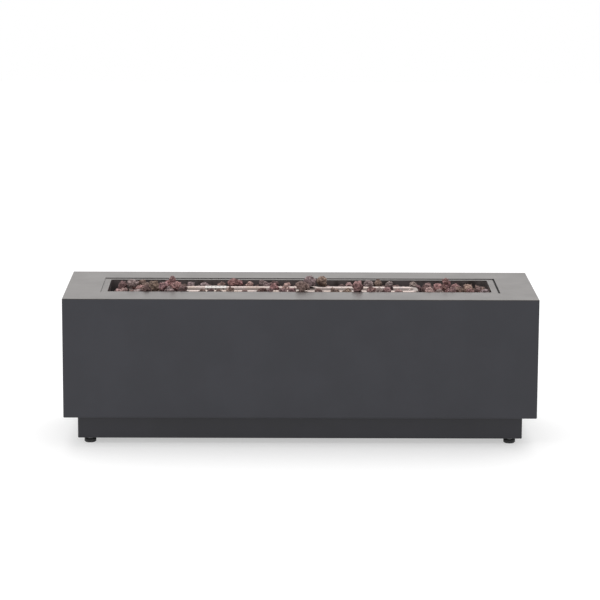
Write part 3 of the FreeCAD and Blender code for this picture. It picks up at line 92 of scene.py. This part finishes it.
# %% Sockets that can be added and multiplied
class Field:
    """A value that varies over a surface: one output socket of a node tree."""

    def __init__(self, tree, socket=None):
        self.tree, self.socket = tree, socket

    def node(self, kind, settings=None, sockets=None, out=0):
        """Makes a node: its settings are set first, then the values or links of its sockets."""
        made = self.tree.nodes.new(kind)
        for name, value in (settings or {}).items():
            if name == "stops":
                ramp = made.color_ramp
                while len(ramp.elements) < len(value):
                    ramp.elements.new(1.0)
                for element, (position, colour) in zip(ramp.elements, value):
                    element.position, element.color = position, (*colour, 1.0)
            else:
                setattr(made, name, value)
        for name, value in (sockets or {}).items():
            if isinstance(value, Field):
                self.tree.links.new(value.socket, made.inputs[name])
            else:
                made.inputs[name].default_value = value
        return Field(self.tree, made.outputs[out])

    def maths(self, operation, *others):
        """A Math node whose first value is this one."""
        return self.node("ShaderNodeMath", {"operation": operation},
                         dict(enumerate((self, *others))))

    def __add__(self, other):
        return self.maths("ADD", other)

    __radd__ = __add__

    def __sub__(self, other):
        return self.maths("SUBTRACT", other)

    def __rsub__(self, other):
        return self.maths("MULTIPLY_ADD", -1.0, other)

    def __mul__(self, other):
        return self.maths("MULTIPLY", other)

    __rmul__ = __mul__

    def __truediv__(self, other):
        return self.maths("DIVIDE", other)

    def __abs__(self):
        return self.maths("ABSOLUTE")

    def step_up(self, low, high):
        """0 below low, 1 above high, and a smooth rise between them."""
        return self.node("ShaderNodeMapRange", {"interpolation_type": "SMOOTHSTEP"},
                         {"Value": self, "From Min": low, "From Max": high})

    def between(self, first, second):
        """Colour that goes from the first to the second as this value goes from 0 to 1."""
        whole = [value if isinstance(value, Field) else (*value, 1.0) for value in (first, second)]
        return self.node("ShaderNodeMix", {"data_type": "RGBA"},
                         {"Factor": self, 6: whole[0], 7: whole[1]}, out=2)


print("a Field adds, multiplies and mixes")

# %% [markdown]
# ## Patterns and places
# Most finishes need the same few things: noise, the same noise drawn out into streaks, one
# coordinate by itself, and a height turned into relief. Each is one node, so each is one short
# function here. They all take a Field called where, the place on the piece in metres.

# %% Noise, streaks, coordinates and relief
def noise(where, scale, detail=3.0, roughness=0.5):
    return where.node("ShaderNodeTexNoise", {}, {"Vector": where, "Scale": scale,
                      "Detail": detail, "Roughness": roughness})


def stretched(where, x, y, z):
    """The same coordinates with each axis scaled, so that a round pattern becomes a streak."""
    return where.node("ShaderNodeMapping", {}, {"Vector": where, "Scale": (x, y, z)})


def split(where):
    """The x, y and z of a place as three separate values."""
    first = where.node("ShaderNodeSeparateXYZ", {}, {"Vector": where})
    outputs = first.socket.node.outputs
    return [Field(where.tree, outputs[index]) for index in range(3)]


def bump(height, distance):
    """A height in 0 to 1 seen as relief of that distance in metres."""
    return height.node("ShaderNodeBump", {}, {"Height": height, "Distance": distance})


print("patterns read the coordinates of the piece that they are on")

# %% [markdown]
# ## One finish, many pieces
# A finish is a Principled material with a function for each of its inputs. Every function gets the
# piece's own coordinates, so that a pattern stays on its piece when the piece moves. A finish is
# made once and put on all pieces that left the same bath or oven.

# %% Make a finish and put it on pieces
def finish(name, base, roughness, metallic=0.0, normal=None, **constants):
    """Material whose inputs are functions of the object's own coordinates, or plain values."""
    material = bpy.data.materials.new(name)
    material.use_nodes = True
    tree = material.node_tree
    shader = next(node for node in tree.nodes if node.type == "BSDF_PRINCIPLED")
    where = Field(tree).node("ShaderNodeTexCoord", out=3)
    inputs = {"Base Color": base, "Roughness": roughness, "Metallic": metallic, "Normal": normal}
    for socket, value in inputs.items():
        value = value(where) if callable(value) else value
        if isinstance(value, Field):
            tree.links.new(value.socket, shader.inputs[socket])
        elif socket == "Base Color":
            shader.inputs[socket].default_value = (*value, 1.0)
        elif value is not None:
            shader.inputs[socket].default_value = value
    for socket, value in constants.items():
        shader.inputs[socket.replace("_", " ").title()].default_value = value
    return material


def dress(material, *nodes):
    for name in nodes:
        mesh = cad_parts[name].data
        mesh.materials.clear()
        mesh.materials.append(material)
    print(material.name, "on", len(nodes), "pieces")


print(len(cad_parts), "pieces wait for a finish")

# %% [markdown]
# ## Powder coat
# The casing is steel under a thin baked powder, nearly black, with a faint orange peel that spreads
# reflections. Seen square on it is dark, and seen along the surface it mirrors the pale room, which
# is why the top looks light grey and the front does not. That needs no pale paint: the shader's own
# Fresnel does it, if the roughness is right. A slow change of colour and roughness keeps the long
# faces from looking like plain plastic.

# %% Powder coat on casing, cover and plinth
def powder(dark, light):
    return lambda where: noise(where, 9.0, 4.0).step_up(0.35, 0.7).between(dark, light)


def satin(level, spread=0.05):
    return lambda where: noise(where, 14.0, 3.0) * (2 * spread) + (level - spread)


def orange_peel(where):
    return bump(noise(where, 700.0, 2.0), 0.000012)


casing_coat = finish("casing_coat", powder((0.0160, 0.0166, 0.0245), (0.0200, 0.0206, 0.0295)),
                     satin(0.3), normal=orange_peel)
dress(casing_coat, "casing_front", "casing_rear", "casing_left", "casing_right", "access_cover")
# The plinth's coat is a darker copy of the casing's coat, as painted shade for the shadow under the
# casing's overhang.
shaded_plinth_coat = finish("shaded_plinth_coat", powder((0.0115, 0.0115, 0.0165), (0.015, 0.0145, 0.021)),
                     satin(0.42), normal=orange_peel)
dress(shaded_plinth_coat, "plinth_front", "plinth_rear", "plinth_left", "plinth_right", "foot_gussets",
      "control_pocket")

# %% [markdown]
# ## The top panel
# The top has the same coat, with two differences that depend only on place. Above the ledge it is
# painted a little browner and lighter than the casing's coat, as a painted warm reflection. The
# ledge in its opening, which carries the pan's flange, is made rougher and painted black, as
# painted shade, so the gap beside the flange shows as a black line. Both are masks on height.

# %% Painted warm reflection and painted black shade on the top
# Height where the ledge's painted black shade gives way to the coat above it.
ledge_shade_edge = (0.4034, 0.4038)


def on_ledge(where):
    """1 on the ledge, 0 on the panel above it, by height."""
    return 1 - split(where)[2].step_up(*ledge_shade_edge)


# Painted light: above the ledge a warmer, lighter copy of the casing's coat stands for a warm
# reflection, and the ledge is painted black as shade.
def top_colour(where):
    coat = powder((0.024, 0.0185, 0.017), (0.030, 0.0235, 0.022))(where)
    return on_ledge(where).between(coat, (0.003, 0.003, 0.003))


top_coat = finish("top_coat", top_colour, lambda where: satin(0.3)(where) + on_ledge(where) * 0.6,
                  normal=orange_peel)
dress(top_coat, "top_panel")

# %% [markdown]
# ## Frame and pan
# The tubes inside are only primed, so they are flatter and a shade lighter. The pan has a
# heat-proof coat like the casing's. Its flange is clean. Below it the walls are paler, because the
# rocks shed dust on them, so the colour changes with height, broken up by noise.

# %% Primer and pan coat
primer = finish("primer", powder((0.055, 0.055, 0.058), (0.07, 0.07, 0.072)), satin(0.62),
                normal=lambda where: bump(noise(where, 500.0, 3.0), 0.00008))
dress(primer, "top_rails", "base_rails", "corner_posts")


flange_edge = (0.4022, 0.4032)


def pan_colour(where):
    below = 1 - split(where)[2].step_up(*flange_edge)
    dust = below * noise(where, 22.0, 5.0).step_up(0.3, 0.5)
    return dust.between((0.036, 0.028, 0.026), (0.095, 0.083, 0.083))


pan_coat = finish("pan_coat", pan_colour, satin(0.32, 0.08), normal=orange_peel)
dress(pan_coat, "burner_pan")

# %% [markdown]
# ## Bent tube and perforated hood
# The burner is thin stainless tube. Brushing leaves fine lines along it, and heat leaves straw and
# a trace of blue in patches. Lines along a tube could be a texture on a map of the tube, but the
# legs run along one axis for almost all their length, so noise stretched along that axis is
# enough. The inside of the hood and what stands in it are painted dark, as painted shade, so the
# hood's holes look dark from outside.

# %% Stainless steel
def brushed(along):
    scale = [900.0, 900.0, 900.0]
    scale[along] = 12.0
    return lambda where: noise(stretched(where, *scale), 1.0, 3.0)


def heat_tint(where):
    warm = noise(where, 16.0, 4.0).step_up(0.42, 0.62)
    blue = noise(where, 31.0, 3.0).step_up(0.60, 0.74) * 0.55
    straw = warm.between((0.30, 0.25, 0.232), (0.27, 0.217, 0.19))
    return blue.between(straw, (0.18, 0.165, 0.18))


def brush_marks(where):
    return bump(brushed(0)(where), 0.00003)


burner_steel = finish("burner_steel", heat_tint,
                      lambda where: brushed(0)(where) * 0.16 + 0.24, 1.0, brush_marks)
dress(burner_steel, "burner_loop", "burner_nipple", "burner_saddles")


hood_wall = (0.0123, 0.0127)
hood_roof = (0.4012, 0.4016)


def inside_hood(where):
    """1 between the hood's walls and under its roof, 0 from the middle of the sheet outwards."""
    _, y, z = split(where)
    outer = (y * y).step_up(*[half ** 2 for half in hood_wall])
    return (1 - outer) * (1 - z.step_up(*hood_roof))


# Painted shade: inside the hood the steel is painted dark, so that the holes look dark.
def hood_colour(where):
    outer_steel = powder((0.50, 0.475, 0.455), (0.58, 0.555, 0.53))(where)
    return inside_hood(where).between(outer_steel, (0.07, 0.058, 0.052))


hood_steel = finish("hood_steel", hood_colour,
                    lambda where: brushed(0)(where) * 0.14 + inside_hood(where) * 0.3 + 0.46, 1.0,
                    brush_marks)
dress(hood_steel, "igniter_hood", "igniter_bracket", "thermocouple", "electrode_pin")
shield_steel = finish("shield_steel", powder((0.46, 0.47, 0.48), (0.58, 0.59, 0.60)),
                      lambda where: noise(where, 60.0, 2.0) * 0.2 + 0.3, 1.0)
dress(shield_steel, "heat_shield")

# %% [markdown]
# ## Fittings
# Brass for what carries gas, zinc for what is screwed, drawn aluminium for the pipes and cast
# aluminium for the mixer. Cast metal is told from drawn metal by its grain: round and coarse on the
# casting, fine and lengthwise on the pipe. Zinc has the spangle of its crystals, which a Voronoi
# texture's cells give.

# %% Metals of the fittings
brass = finish("brass", powder((0.72, 0.52, 0.24), (0.80, 0.62, 0.32)), satin(0.3, 0.08), 1.0,
               lambda where: bump(noise(where, 1400.0, 2.0), 0.00003))
dress(brass, "valve_body", "valve_rotor", "valve_stem", "valve_nut", "orifice_elbow", "inlet_nut")


def spangle(where):
    cell = where.node("ShaderNodeTexVoronoi", {}, {"Vector": where, "Scale": 420.0}, out=1)
    return cell.node("ShaderNodeSeparateColor", {}, {"Color": cell})


zinc = finish("zinc", lambda where: spangle(where).between((0.52, 0.53, 0.55), (0.68, 0.69, 0.70)),
              lambda where: spangle(where) * 0.18 + 0.26, 1.0)
dress(zinc, "plinth_fasteners", "foot_nuts", "pocket_nuts", "lead_clips", "pan_lock_nut")
drawn = finish("drawn_aluminium", powder((0.74, 0.75, 0.76), (0.80, 0.81, 0.82)),
               satin(0.34, 0.06), 1.0, lambda where: bump(brushed(0)(where), 0.00002))
dress(drawn, "gas_pipe", "inlet_pipe")
cast = finish("cast_aluminium", powder((0.50, 0.51, 0.52), (0.62, 0.63, 0.64)), satin(0.52, 0.1),
              1.0, lambda where: bump(noise(where, 700.0, 4.0, 0.7), 0.0003))
dress(cast, "air_mixer")

# %% [markdown]
# ## Threads and knurls
# A thread is a ridge that climbs by one pitch a turn. At this size it can be cut into the mesh or
# drawn as relief. The CAD model keeps a plain cylinder of the thread's outside diameter, so relief
# fits best: the height is the fractional part of the distance along the axis, counted in pitches.
# The knurl on the igniter's collar is the same thing, counted round the axis.

# %% Relief along an axis
def rings(where, axis, pitch, low=-9.0, high=9.0):
    """Height of a ridge: how far the fraction of the axis over the pitch is from its half, kept
    to the stretch from low to high."""
    along = split(where)[axis]
    ridge = abs((along / pitch).maths("FRACT") - 0.5) * 2
    return ridge * along.step_up(low, low + 1e-4) * (1 - along.step_up(high - 1e-4, high))


stud_pitch, stud_thread = 0.00125, (0.0155, 0.05)
inlet_pitch, inlet_thread = 0.0014, (0.1725, 0.186)

# Painted shade: along the whole stud the grooves of the thread are painted darker than its crests.
stud_zinc = finish("stud_zinc", lambda where: rings(where, 2, stud_pitch).between(
    (0.60, 0.61, 0.63), (0.42, 0.43, 0.45)), 0.32, 1.0,
    lambda where: bump(1 - rings(where, 2, stud_pitch, *stud_thread), 0.0005))
feet = ("front_left", "front_right", "rear_left", "rear_right")
dress(stud_zinc, *["foot_stud_" + foot for foot in feet])
inlet_brass = finish("inlet_brass", powder((0.70, 0.50, 0.23), (0.80, 0.61, 0.31)), 0.3, 1.0,
                     lambda where: bump(1 - rings(where, 1, inlet_pitch, *inlet_thread), 0.0006))
dress(inlet_brass, "gas_inlet")
button_y, button_z = 0.040, 0.285
knurl_ridges = 36


def knurl(where):
    """Ridges round an axis along x through the button: a wave of the angle, so many to a turn."""
    _, y, z = split(where)
    angle = (z - button_z).maths("ARCTAN2", y - button_y)
    return (angle * knurl_ridges).maths("SINE") * 0.5 + 0.5


collar_zinc = finish("collar_zinc", (0.56, 0.57, 0.59), 0.3, 1.0,
                     lambda where: bump(knurl(where), 0.0005))
dress(collar_zinc, "spark_collar")

# %% [markdown]
# ## Screws of the rear cover
# The four screws are countersunk, with a cross recess. They sit at equal distances from the middle
# of the cover, so the distance from the middle, taken without its sign, folds all four onto one,
# and the recess is two narrow bars in those folded coordinates.

# %% Cross recess
cover_low, cover_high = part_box("access_cover")
cover_middle = (cover_low + cover_high) / 2
screw_low, screw_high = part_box("access_screws")
screw_reach = (screw_high - screw_low) / 2
screw_head = 0.004
arm_side, arm_end = (0.0004, 0.0006), (0.0022, 0.0025)


def cross(where):
    """Recess of two bars: near one axis of the screw, and not too far along the other."""
    x, _, z = split(where)
    across = abs(abs(x - cover_middle.x) - (screw_reach.x - screw_head))
    upright = abs(abs(z - cover_middle.z) - (screw_reach.z - screw_head))
    arm = across.maths("MINIMUM", upright)
    reach = across.maths("MAXIMUM", upright)
    return (1 - arm.step_up(*arm_side)) * (1 - reach.step_up(*arm_end))


# Painted shade: the cross recess is painted nearly black, as well as drawn as relief.
screw_zinc = finish("screw_zinc", lambda where: cross(where).between((0.50, 0.51, 0.53),
                    (0.05, 0.05, 0.05)), 0.34, 1.0, lambda where: bump(1 - cross(where), 0.0012))
dress(screw_zinc, "access_screws")

# %% [markdown]
# ## Plastic, rubber and ceramic
# The knob and the spark module are moulded black plastic with a fine grain, the push button is the
# same plastic polished, and the pads under the plinth are harder and duller, with scuffs. The
# knob's raised pointer is filled with white, which is a mask on the knob's own coordinates, so it
# turns with the knob.

# %% Mouldings
def grain(where):
    return bump(noise(where, 1500.0, 2.0), 0.00008)


knob_low, knob_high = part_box("control_knob")
knob_middle = (knob_low + knob_high) / 2


def pointer(where):
    """The raised bar on the knob: its outermost half millimetre, above the knob's middle."""
    x, y, z = split(where)
    front = 1 - x.step_up(knob_low.x + 0.0004, knob_low.x + 0.0007)
    above = z.step_up(knob_middle.z + 0.0028, knob_middle.z + 0.0032)
    return front * above * (1 - abs(y - knob_middle.y).step_up(0.0012, 0.0014))


knob_plastic = finish("knob_plastic", lambda where: pointer(where).between((0.017, 0.017, 0.018),
                      (0.75, 0.75, 0.73)), satin(0.46), normal=grain)
dress(knob_plastic, "control_knob")
module_plastic = finish("module_plastic", powder((0.020, 0.020, 0.021), (0.028, 0.028, 0.03)),
                        satin(0.5), normal=grain)
dress(module_plastic, "spark_module")
button_plastic = finish("button_plastic", (0.022, 0.006, 0.005), satin(0.2, 0.04),
                        coat_weight=0.3)
dress(button_plastic, "spark_button")


def scuffed(where):
    return noise(where, 130.0, 6.0, 0.7).step_up(0.56, 0.68).between((0.016, 0.016, 0.017),
                                                                       (0.055, 0.053, 0.05))


pad_plastic = finish("pad_plastic", scuffed, satin(0.6, 0.08), normal=grain)
dress(pad_plastic, *["foot_pad_" + foot for foot in feet])
rubber = finish("grommet_rubber", (0.025, 0.024, 0.023), satin(0.7, 0.06), normal=grain)
dress(rubber, "lead_grommets")
ceramic = finish("glazed_ceramic", powder((0.78, 0.75, 0.68), (0.84, 0.82, 0.77)),
                 satin(0.22, 0.05), coat_weight=0.4)
dress(ceramic, "electrode_insulator")
silicone = finish("lead_silicone", powder((0.30, 0.035, 0.028), (0.36, 0.05, 0.04)),
                  satin(0.48, 0.05), normal=grain)
dress(silicone, "spark_lead")
copper = finish("capillary_copper", powder((0.62, 0.30, 0.19), (0.72, 0.40, 0.27)),
                satin(0.3, 0.08), 1.0)
dress(copper, "sensor_lead")

# %% [markdown]
# ## Lava rock: from facets to broken stone
# Each CAD rock is a convex solid: a set of planes. A rock could be sculpted, or made with a
# displacement modifier, but a formula keeps it inside its solid, so that no rock cuts into the
# next. Looking out from a rock's middle in some direction, the nearest plane gives how far the
# solid goes. Adding up all the planes with a high power gives nearly the same distance, but with
# rounded edges. Ridges, hollows and pits are then taken off it, never added.

# %% Find the rocks in a node
def rock_planes(node):
    """For each rock of a CAD node: its middle, and the normals and distances of its planes.
    Triangles that share a corner get the same label, again and again, until nothing changes."""
    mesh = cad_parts[node].data
    points = np.empty(3 * len(mesh.vertices))
    mesh.vertices.foreach_get("co", points)
    corners = np.empty(len(mesh.loops), int)
    mesh.loops.foreach_get("vertex_index", corners)
    places, same = np.unique(points.reshape(-1, 3).round(6), axis=0, return_inverse=True)
    triangles = same.ravel()[corners].reshape(-1, 3)
    label = np.arange(len(places))
    before = None
    while before is None or (before != label).any():
        before = label.copy()
        least = label[triangles].min(axis=1)
        np.minimum.at(label, triangles.ravel(), np.repeat(least, 3))
    rocks = []
    for mark in np.unique(label):
        ours = places[triangles[label[triangles[:, 0]] == mark]]
        middle = (ours.min(axis=(0, 1)) + ours.max(axis=(0, 1))) / 2
        normals = np.cross(ours[:, 1] - ours[:, 0], ours[:, 2] - ours[:, 0])
        size = np.linalg.norm(normals, axis=1)
        normals = normals[size > 1e-9] / size[size > 1e-9, None]
        heights = ((ours[size > 1e-9, 0] - middle) * normals).sum(axis=1)
        planes = np.unique(np.column_stack([normals, heights * 100]).round(3), axis=0)
        rocks.append((middle, planes[:, :3], planes[:, 3] / 100))
    return rocks


rock_nodes = ["lava_rocks_" + str(index) for index in range(1, 5)]
print("rocks are in", ", ".join(rock_nodes))

# %% [markdown]
# A rock's surface is a function of two angles, like a globe's: one from pole to pole, one round.
# Three sizes of dimple about random directions are taken off it, each deepest at its middle. A few
# wide ones break the rock into hollows and ridges, and many narrow ones, of two sizes, are the
# pits that make it lava.

# %% Surface of one rock
rows, columns = 34, 52
polar, around = np.meshgrid(np.linspace(0, np.pi, rows + 2)[1:-1],
                            np.linspace(0, 2 * np.pi, columns, endpoint=False), indexing="ij")
globe = np.stack([np.sin(polar) * np.cos(around), np.sin(polar) * np.sin(around),
                  np.cos(polar)], axis=-1).reshape(-1, 3)
globe = np.vstack([globe, [(0, 0, 1), (0, 0, -1)]])


edge_power, wave_count, ridge_share, ridge_start = 40, 9, 0.45, 0.40


def random_directions(draw, count):
    arrows = draw.normal(size=(count, 3))
    return arrows / np.linalg.norm(arrows, axis=1)[:, None]


def dimples(draw, count, width, share):
    """Share of the radius taken off by some dimples: each is share times (1 - angle / width) to
    the power 0.7, and where several meet the deepest counts."""
    near = np.arccos(np.clip(globe @ random_directions(draw, count).T, -1, 1)) / width
    return (share * np.clip(1 - near, 0, 1) ** 0.7).max(axis=1)


def rock_points(middle, normals, heights, draw):
    """Distance along each direction u: the power mean of the planes, (sum of (n.u / h)^power) to
    the power -1/power, less ridges, which are the folded sines of a few waves of u, less the
    dimples."""
    facing = np.clip(globe @ normals.T / heights, 0, None)
    reach = (facing ** edge_power).sum(axis=1) ** (-1 / edge_power)
    waves = random_directions(draw, wave_count) * draw.uniform(3, 9, (wave_count, 1))
    phases = draw.uniform(0, 6.28, wave_count)
    ridges = np.abs(np.sin(globe @ waves.T + phases)).mean(axis=1)
    reach = reach * (1 - ridge_share * np.clip(ridges - ridge_start, 0, None))
    hollows = dimples(draw, count=7, width=0.70, share=0.27)
    pits = np.maximum(dimples(draw, count=36, width=0.28, share=0.13),
                      dimples(draw, count=90, width=0.17, share=0.09))
    return middle + globe * (reach * (1 - hollows) * (1 - pits))[:, None], pits


def globe_faces():
    """Four-cornered faces between neighbouring rows, wrapped round, and a fan at each pole."""
    index = np.arange(rows * columns).reshape(rows, columns)
    ahead_one = np.roll(index, -1, axis=1)
    quads = np.stack([index[:-1], index[1:], ahead_one[1:], ahead_one[:-1]], axis=-1)
    top, foot = rows * columns, rows * columns + 1
    north = np.stack([index[0], ahead_one[0], np.full(columns, top)], axis=-1)
    south = np.stack([ahead_one[-1], index[-1], np.full(columns, foot)], axis=-1)
    return quads.reshape(-1, 4), np.vstack([north, south])


print("a rock has", len(globe), "points")

# %% [markdown]
# ## Rock colours
# Lava rock is sold mixed: mauve and brown for the most part, with some pink, grey, khaki, ochre.
# A random choice for each rock would do, but a few big ones stand out in the picture, so the choice
# is led by where a rock lies: each named place lends its colour to the rocks near it, and chance
# decides for the rest. The colour is stored on the points, and the material darkens it in the pits,
# as painted shade.

# %% Make the rocks
mauve, brown, pink = (0.26, 0.165, 0.163), (0.19, 0.125, 0.112), (0.45, 0.31, 0.30)
grey, khaki, ochre = (0.30, 0.24, 0.235), (0.26, 0.185, 0.158), (0.38, 0.285, 0.23)
umber, rose = (0.13, 0.085, 0.082), (0.34, 0.20, 0.197)
usual = np.array([mauve, mauve, brown, brown, rose, grey, umber])
patches = [(-0.490, 0.04, 0.030, mauve), (-0.485, -0.02, 0.024, pink), (-0.456, 0.01, 0.012, grey),
           (-0.438, -0.06, 0.012, grey), (-0.433, -0.03, 0.012, rose), (-0.400, 0.01, 0.036, khaki),
           (-0.368, -0.03, 0.012, mauve), (-0.348, 0.01, 0.026, rose), (-0.353, -0.05, 0.012, grey),
           (-0.318, -0.05, 0.014, umber), (-0.280, 0.05, 0.030, grey), (-0.215, 0.06, 0.020, khaki),
           (-0.188, -0.05, 0.014, khaki), (-0.182, 0.05, 0.012, rose), (-0.136, 0.06, 0.014, pink),
           (-0.102, -0.05, 0.014, brown), (-0.069, 0.01, 0.040, rose), (-0.035, 0.03, 0.045, pink),
           (-0.045, -0.05, 0.030, mauve), (0.008, -0.04, 0.014, khaki), (0.030, 0.02, 0.016, grey),
           (0.063, 0.04, 0.016, khaki), (0.052, -0.05, 0.012, brown), (0.096, -0.05, 0.012, khaki),
           (0.131, -0.05, 0.012, ochre), (0.159, -0.04, 0.014, rose), (0.137, 0.07, 0.012, pink),
           (0.195, -0.05, 0.014, mauve), (0.216, -0.06, 0.012, grey), (0.217, 0.07, 0.020, khaki),
           (0.268, -0.05, 0.014, pink), (0.314, 0.05, 0.014, grey), (0.350, -0.01, 0.014, mauve),
           (0.354, -0.06, 0.014, pink), (0.396, 0.01, 0.030, rose), (0.408, 0.04, 0.012, rose),
           (0.416, -0.05, 0.014, mauve), (0.452, -0.01, 0.030, khaki), (0.461, -0.02, 0.012, ochre),
           (0.484, 0.02, 0.016, ochre), (0.489, -0.03, 0.012, mauve), (0.503, -0.06, 0.014, grey)]


def rock_colour(middle, draw):
    """Colour of the last listed place that reaches this rock, or one of the usual ones."""
    colour = usual[draw.integers(len(usual))]
    for x, y, reach, special in patches:
        if math.hypot(middle[0] - x, middle[1] - y) < reach:
            colour = np.array(special)
    return colour * draw.uniform(0.85, 1.25) * draw.uniform(0.96, 1.04, 3)


def lava_rocks(node, seed):
    draw = np.random.default_rng(seed)
    points, colours, pits = [], [], []
    for middle, normals, heights in rock_planes(node):
        spots, depth = rock_points(middle, normals, heights, draw)
        points.append(spots)
        pits.append(depth)
        colours.append(np.tile([*rock_colour(middle, draw), 1.0], (len(spots), 1)))
    quads, fans = globe_faces()
    starts = [index * len(globe) for index in range(len(points))]
    faces = [face for start in starts for part in (quads, fans) for face in (part + start).tolist()]
    mesh = bpy.data.meshes.new(node + "_stone")
    mesh.from_pydata(np.vstack(points).tolist(), [], faces)
    mesh.polygons.foreach_set("use_smooth", np.ones(len(faces), bool))
    tint = mesh.attributes.new("rock_colour", "FLOAT_COLOR", "POINT")
    tint.data.foreach_set("color", np.vstack(colours).ravel())
    # The pits' depth is kept so that the material can darken them as painted shade.
    pit = mesh.attributes.new("pit_depth", "FLOAT", "POINT")
    pit.data.foreach_set("value", np.concatenate(pits))
    rock = bpy.data.objects.new(node + "_stone", mesh)
    bpy.context.scene.collection.objects.link(rock)
    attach(rock, "frame")
    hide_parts(node)
    print(node, "has", len(points), "rocks and", len(faces), "faces")
    return rock


rocks = [lava_rocks(node, seed) for seed, node in enumerate(rock_nodes, start=1)]

# %% [markdown]
# ## Lava material
# Pores smaller than the mesh can carry are drawn: a Voronoi texture's distance from its cell
# middles gives round holes, and noise breaks up their size. The pits and the pores are painted
# darker than the skin, as painted shade, and noise makes the skin paler in some patches and darker
# in others.

# %% Porous stone
def pores(where):
    warped = where.node("ShaderNodeVectorMath", {"operation": "ADD"},
                        {0: where, 1: noise(where, 180.0, 2.0) * 0.004})
    wide, fine = [1 - warped.node("ShaderNodeTexVoronoi", {}, {"Vector": warped, "Scale": scale})
                  .step_up(0.11, 0.44) for scale in (300.0, 700.0)]
    return wide.maths("MAXIMUM", fine * 0.6)


def stone_colour(where):
    colour = where.node("ShaderNodeAttribute", {"attribute_name": "rock_colour"})
    depth = where.node("ShaderNodeAttribute", {"attribute_name": "pit_depth"}, out=2)
    mottle = noise(where, 120.0, 5.0, 0.65).step_up(0.35, 0.7)
    pale = colour.node("ShaderNodeMix", {"data_type": "RGBA", "blend_type": "MULTIPLY"},
                       {"Factor": 1.0, 6: colour, 7: mottle.between((0.50, 0.44, 0.44),
                                                                    (1.75, 1.70, 1.66))}, out=2)
    # Painted shade: the mesh's pits and the drawn pores are darkened nearly to black.
    painted_pit_shade = (depth.step_up(0.02, 0.16) * 0.85).maths("MAXIMUM", pores(where) * 0.7)
    return painted_pit_shade.between(pale, (0.030, 0.018, 0.017))


stone = finish("porous_stone", stone_colour, lambda where: noise(where, 60.0) * 0.15 + 0.8,
               normal=lambda where: bump(noise(where, 420.0, 5.0, 0.7) * 0.5 - pores(where) * 0.6,
                                         0.0016))
for rock in rocks:
    rock.data.materials.append(stone)
print(stone.name, "on", len(rocks), "meshes of rocks")

# %% [markdown]
# ## Studio
# The picture has no horizon: floor and backdrop are white, and only the shadow under the plinth
# shows. The room is white to the camera and to reflections, and dimmer as a light, so that the
# object isn't lit by more than it needs.

# %% White room
world = bpy.data.worlds.new("white_room")
bpy.context.scene.world = world
world.use_nodes = True
room = Field(world.node_tree)
seen = room.node("ShaderNodeLightPath")
ways = seen.socket.node.outputs
camera_ray, glossy_ray, passing_ray = [Field(world.node_tree, ways[name]) for name in
                                       ("Is Camera Ray", "Is Glossy Ray", "Is Transmission Ray")]
shown = (camera_ray + glossy_ray + passing_ray).maths("MINIMUM", 1.0)
background = next(node for node in world.node_tree.nodes if node.type == "BACKGROUND")
background.inputs["Color"].default_value = (1.0, 1.0, 1.0, 1.0)
room_light = 0.70
strength = shown * (1 - room_light) + room_light
world.node_tree.links.new(strength.socket, background.inputs["Strength"])
print("room lights with a strength of", room_light)

# %% [markdown]
# The floor keeps its shadow: it is lit like any pale floor, and only gets an extra glow where the
# camera or a reflection sees it. Well inside the plinth it gets none, or it would shine through
# the vents.

# %% Floor
floor_mesh = bpy.data.meshes.new("floor")
floor_mesh.from_pydata([(-9, -9, 0), (9, -9, 0), (9, 9, 0), (-9, 9, 0)], [], [(0, 1, 2, 3)])
floor = bpy.data.objects.new("floor", floor_mesh)
bpy.context.scene.collection.objects.link(floor)
floor_glow, glow_fade, glow_inset = 0.49, 0.04, 0.12
pale = bpy.data.materials.new("pale_floor")
pale.use_nodes = True
tree = pale.node_tree
shader = next(node for node in tree.nodes if node.type == "BSDF_PRINCIPLED")
shader.inputs["Base Color"].default_value = (0.52, 0.52, 0.52, 1.0)
shader.inputs["Roughness"].default_value = 0.9
shader.inputs["Emission Strength"].default_value = floor_glow
outlets = Field(tree).node("ShaderNodeLightPath").socket.node.outputs
x, y, _ = split(Field(tree).node("ShaderNodeTexCoord", out=3))
dark_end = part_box("plinth_right")[0].x - glow_inset
dark_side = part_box("plinth_rear")[0].y - glow_inset
outside = abs(x).step_up(dark_end, dark_end + glow_fade).maths(
    "MAXIMUM", abs(y).step_up(dark_side, dark_side + glow_fade))
glow = (Field(tree, outlets["Is Camera Ray"]) + Field(tree, outlets["Is Glossy Ray"])) * outside
tree.links.new(glow.between((0, 0, 0), (1, 1, 1)).socket, shader.inputs["Emission Color"])
floor_mesh.materials.append(pale)
print("floor glows from", round(dark_end, 3), "m along and", round(dark_side, 3), "m across")

# %% [markdown]
# One wide, soft sun and two panels give the faces their slight differences. The panel behind is
# what the top mirrors, and it is a little warm, as the top is in the picture.

# %% Lamps
table_middle = Vector((0, 0, 0.25))


def lamp(name, kind, place, settings):
    """Lamp of a kind that faces the middle of the table from its place."""
    light = bpy.data.lights.new(name, kind)
    for setting, value in settings.items():
        setattr(light, setting, value)
    held = bpy.data.objects.new(name, light)
    bpy.context.scene.collection.objects.link(held)
    facing = (table_middle - Vector(place)).to_track_quat("-Z", "Y")
    held.matrix_world = Matrix.Translation(place) @ facing.to_matrix().to_4x4()


lamp("overhead", "SUN", (0.3, 1.5, 4.0), {"energy": 1.5, "angle": math.radians(55)})
lamp("left_panel", "AREA", (-3.2, -2.6, 2.8), {"size": 2.2, "energy": 40.0})
lamp("rear_panel", "AREA", (0.0, 4.2, 1.35), {"shape": "RECTANGLE", "size": 7.0, "size_y": 0.9,
                                              "energy": 7.0, "color": (1.0, 0.90, 0.82)})
print("lamps", [light.name for light in bpy.data.lights])
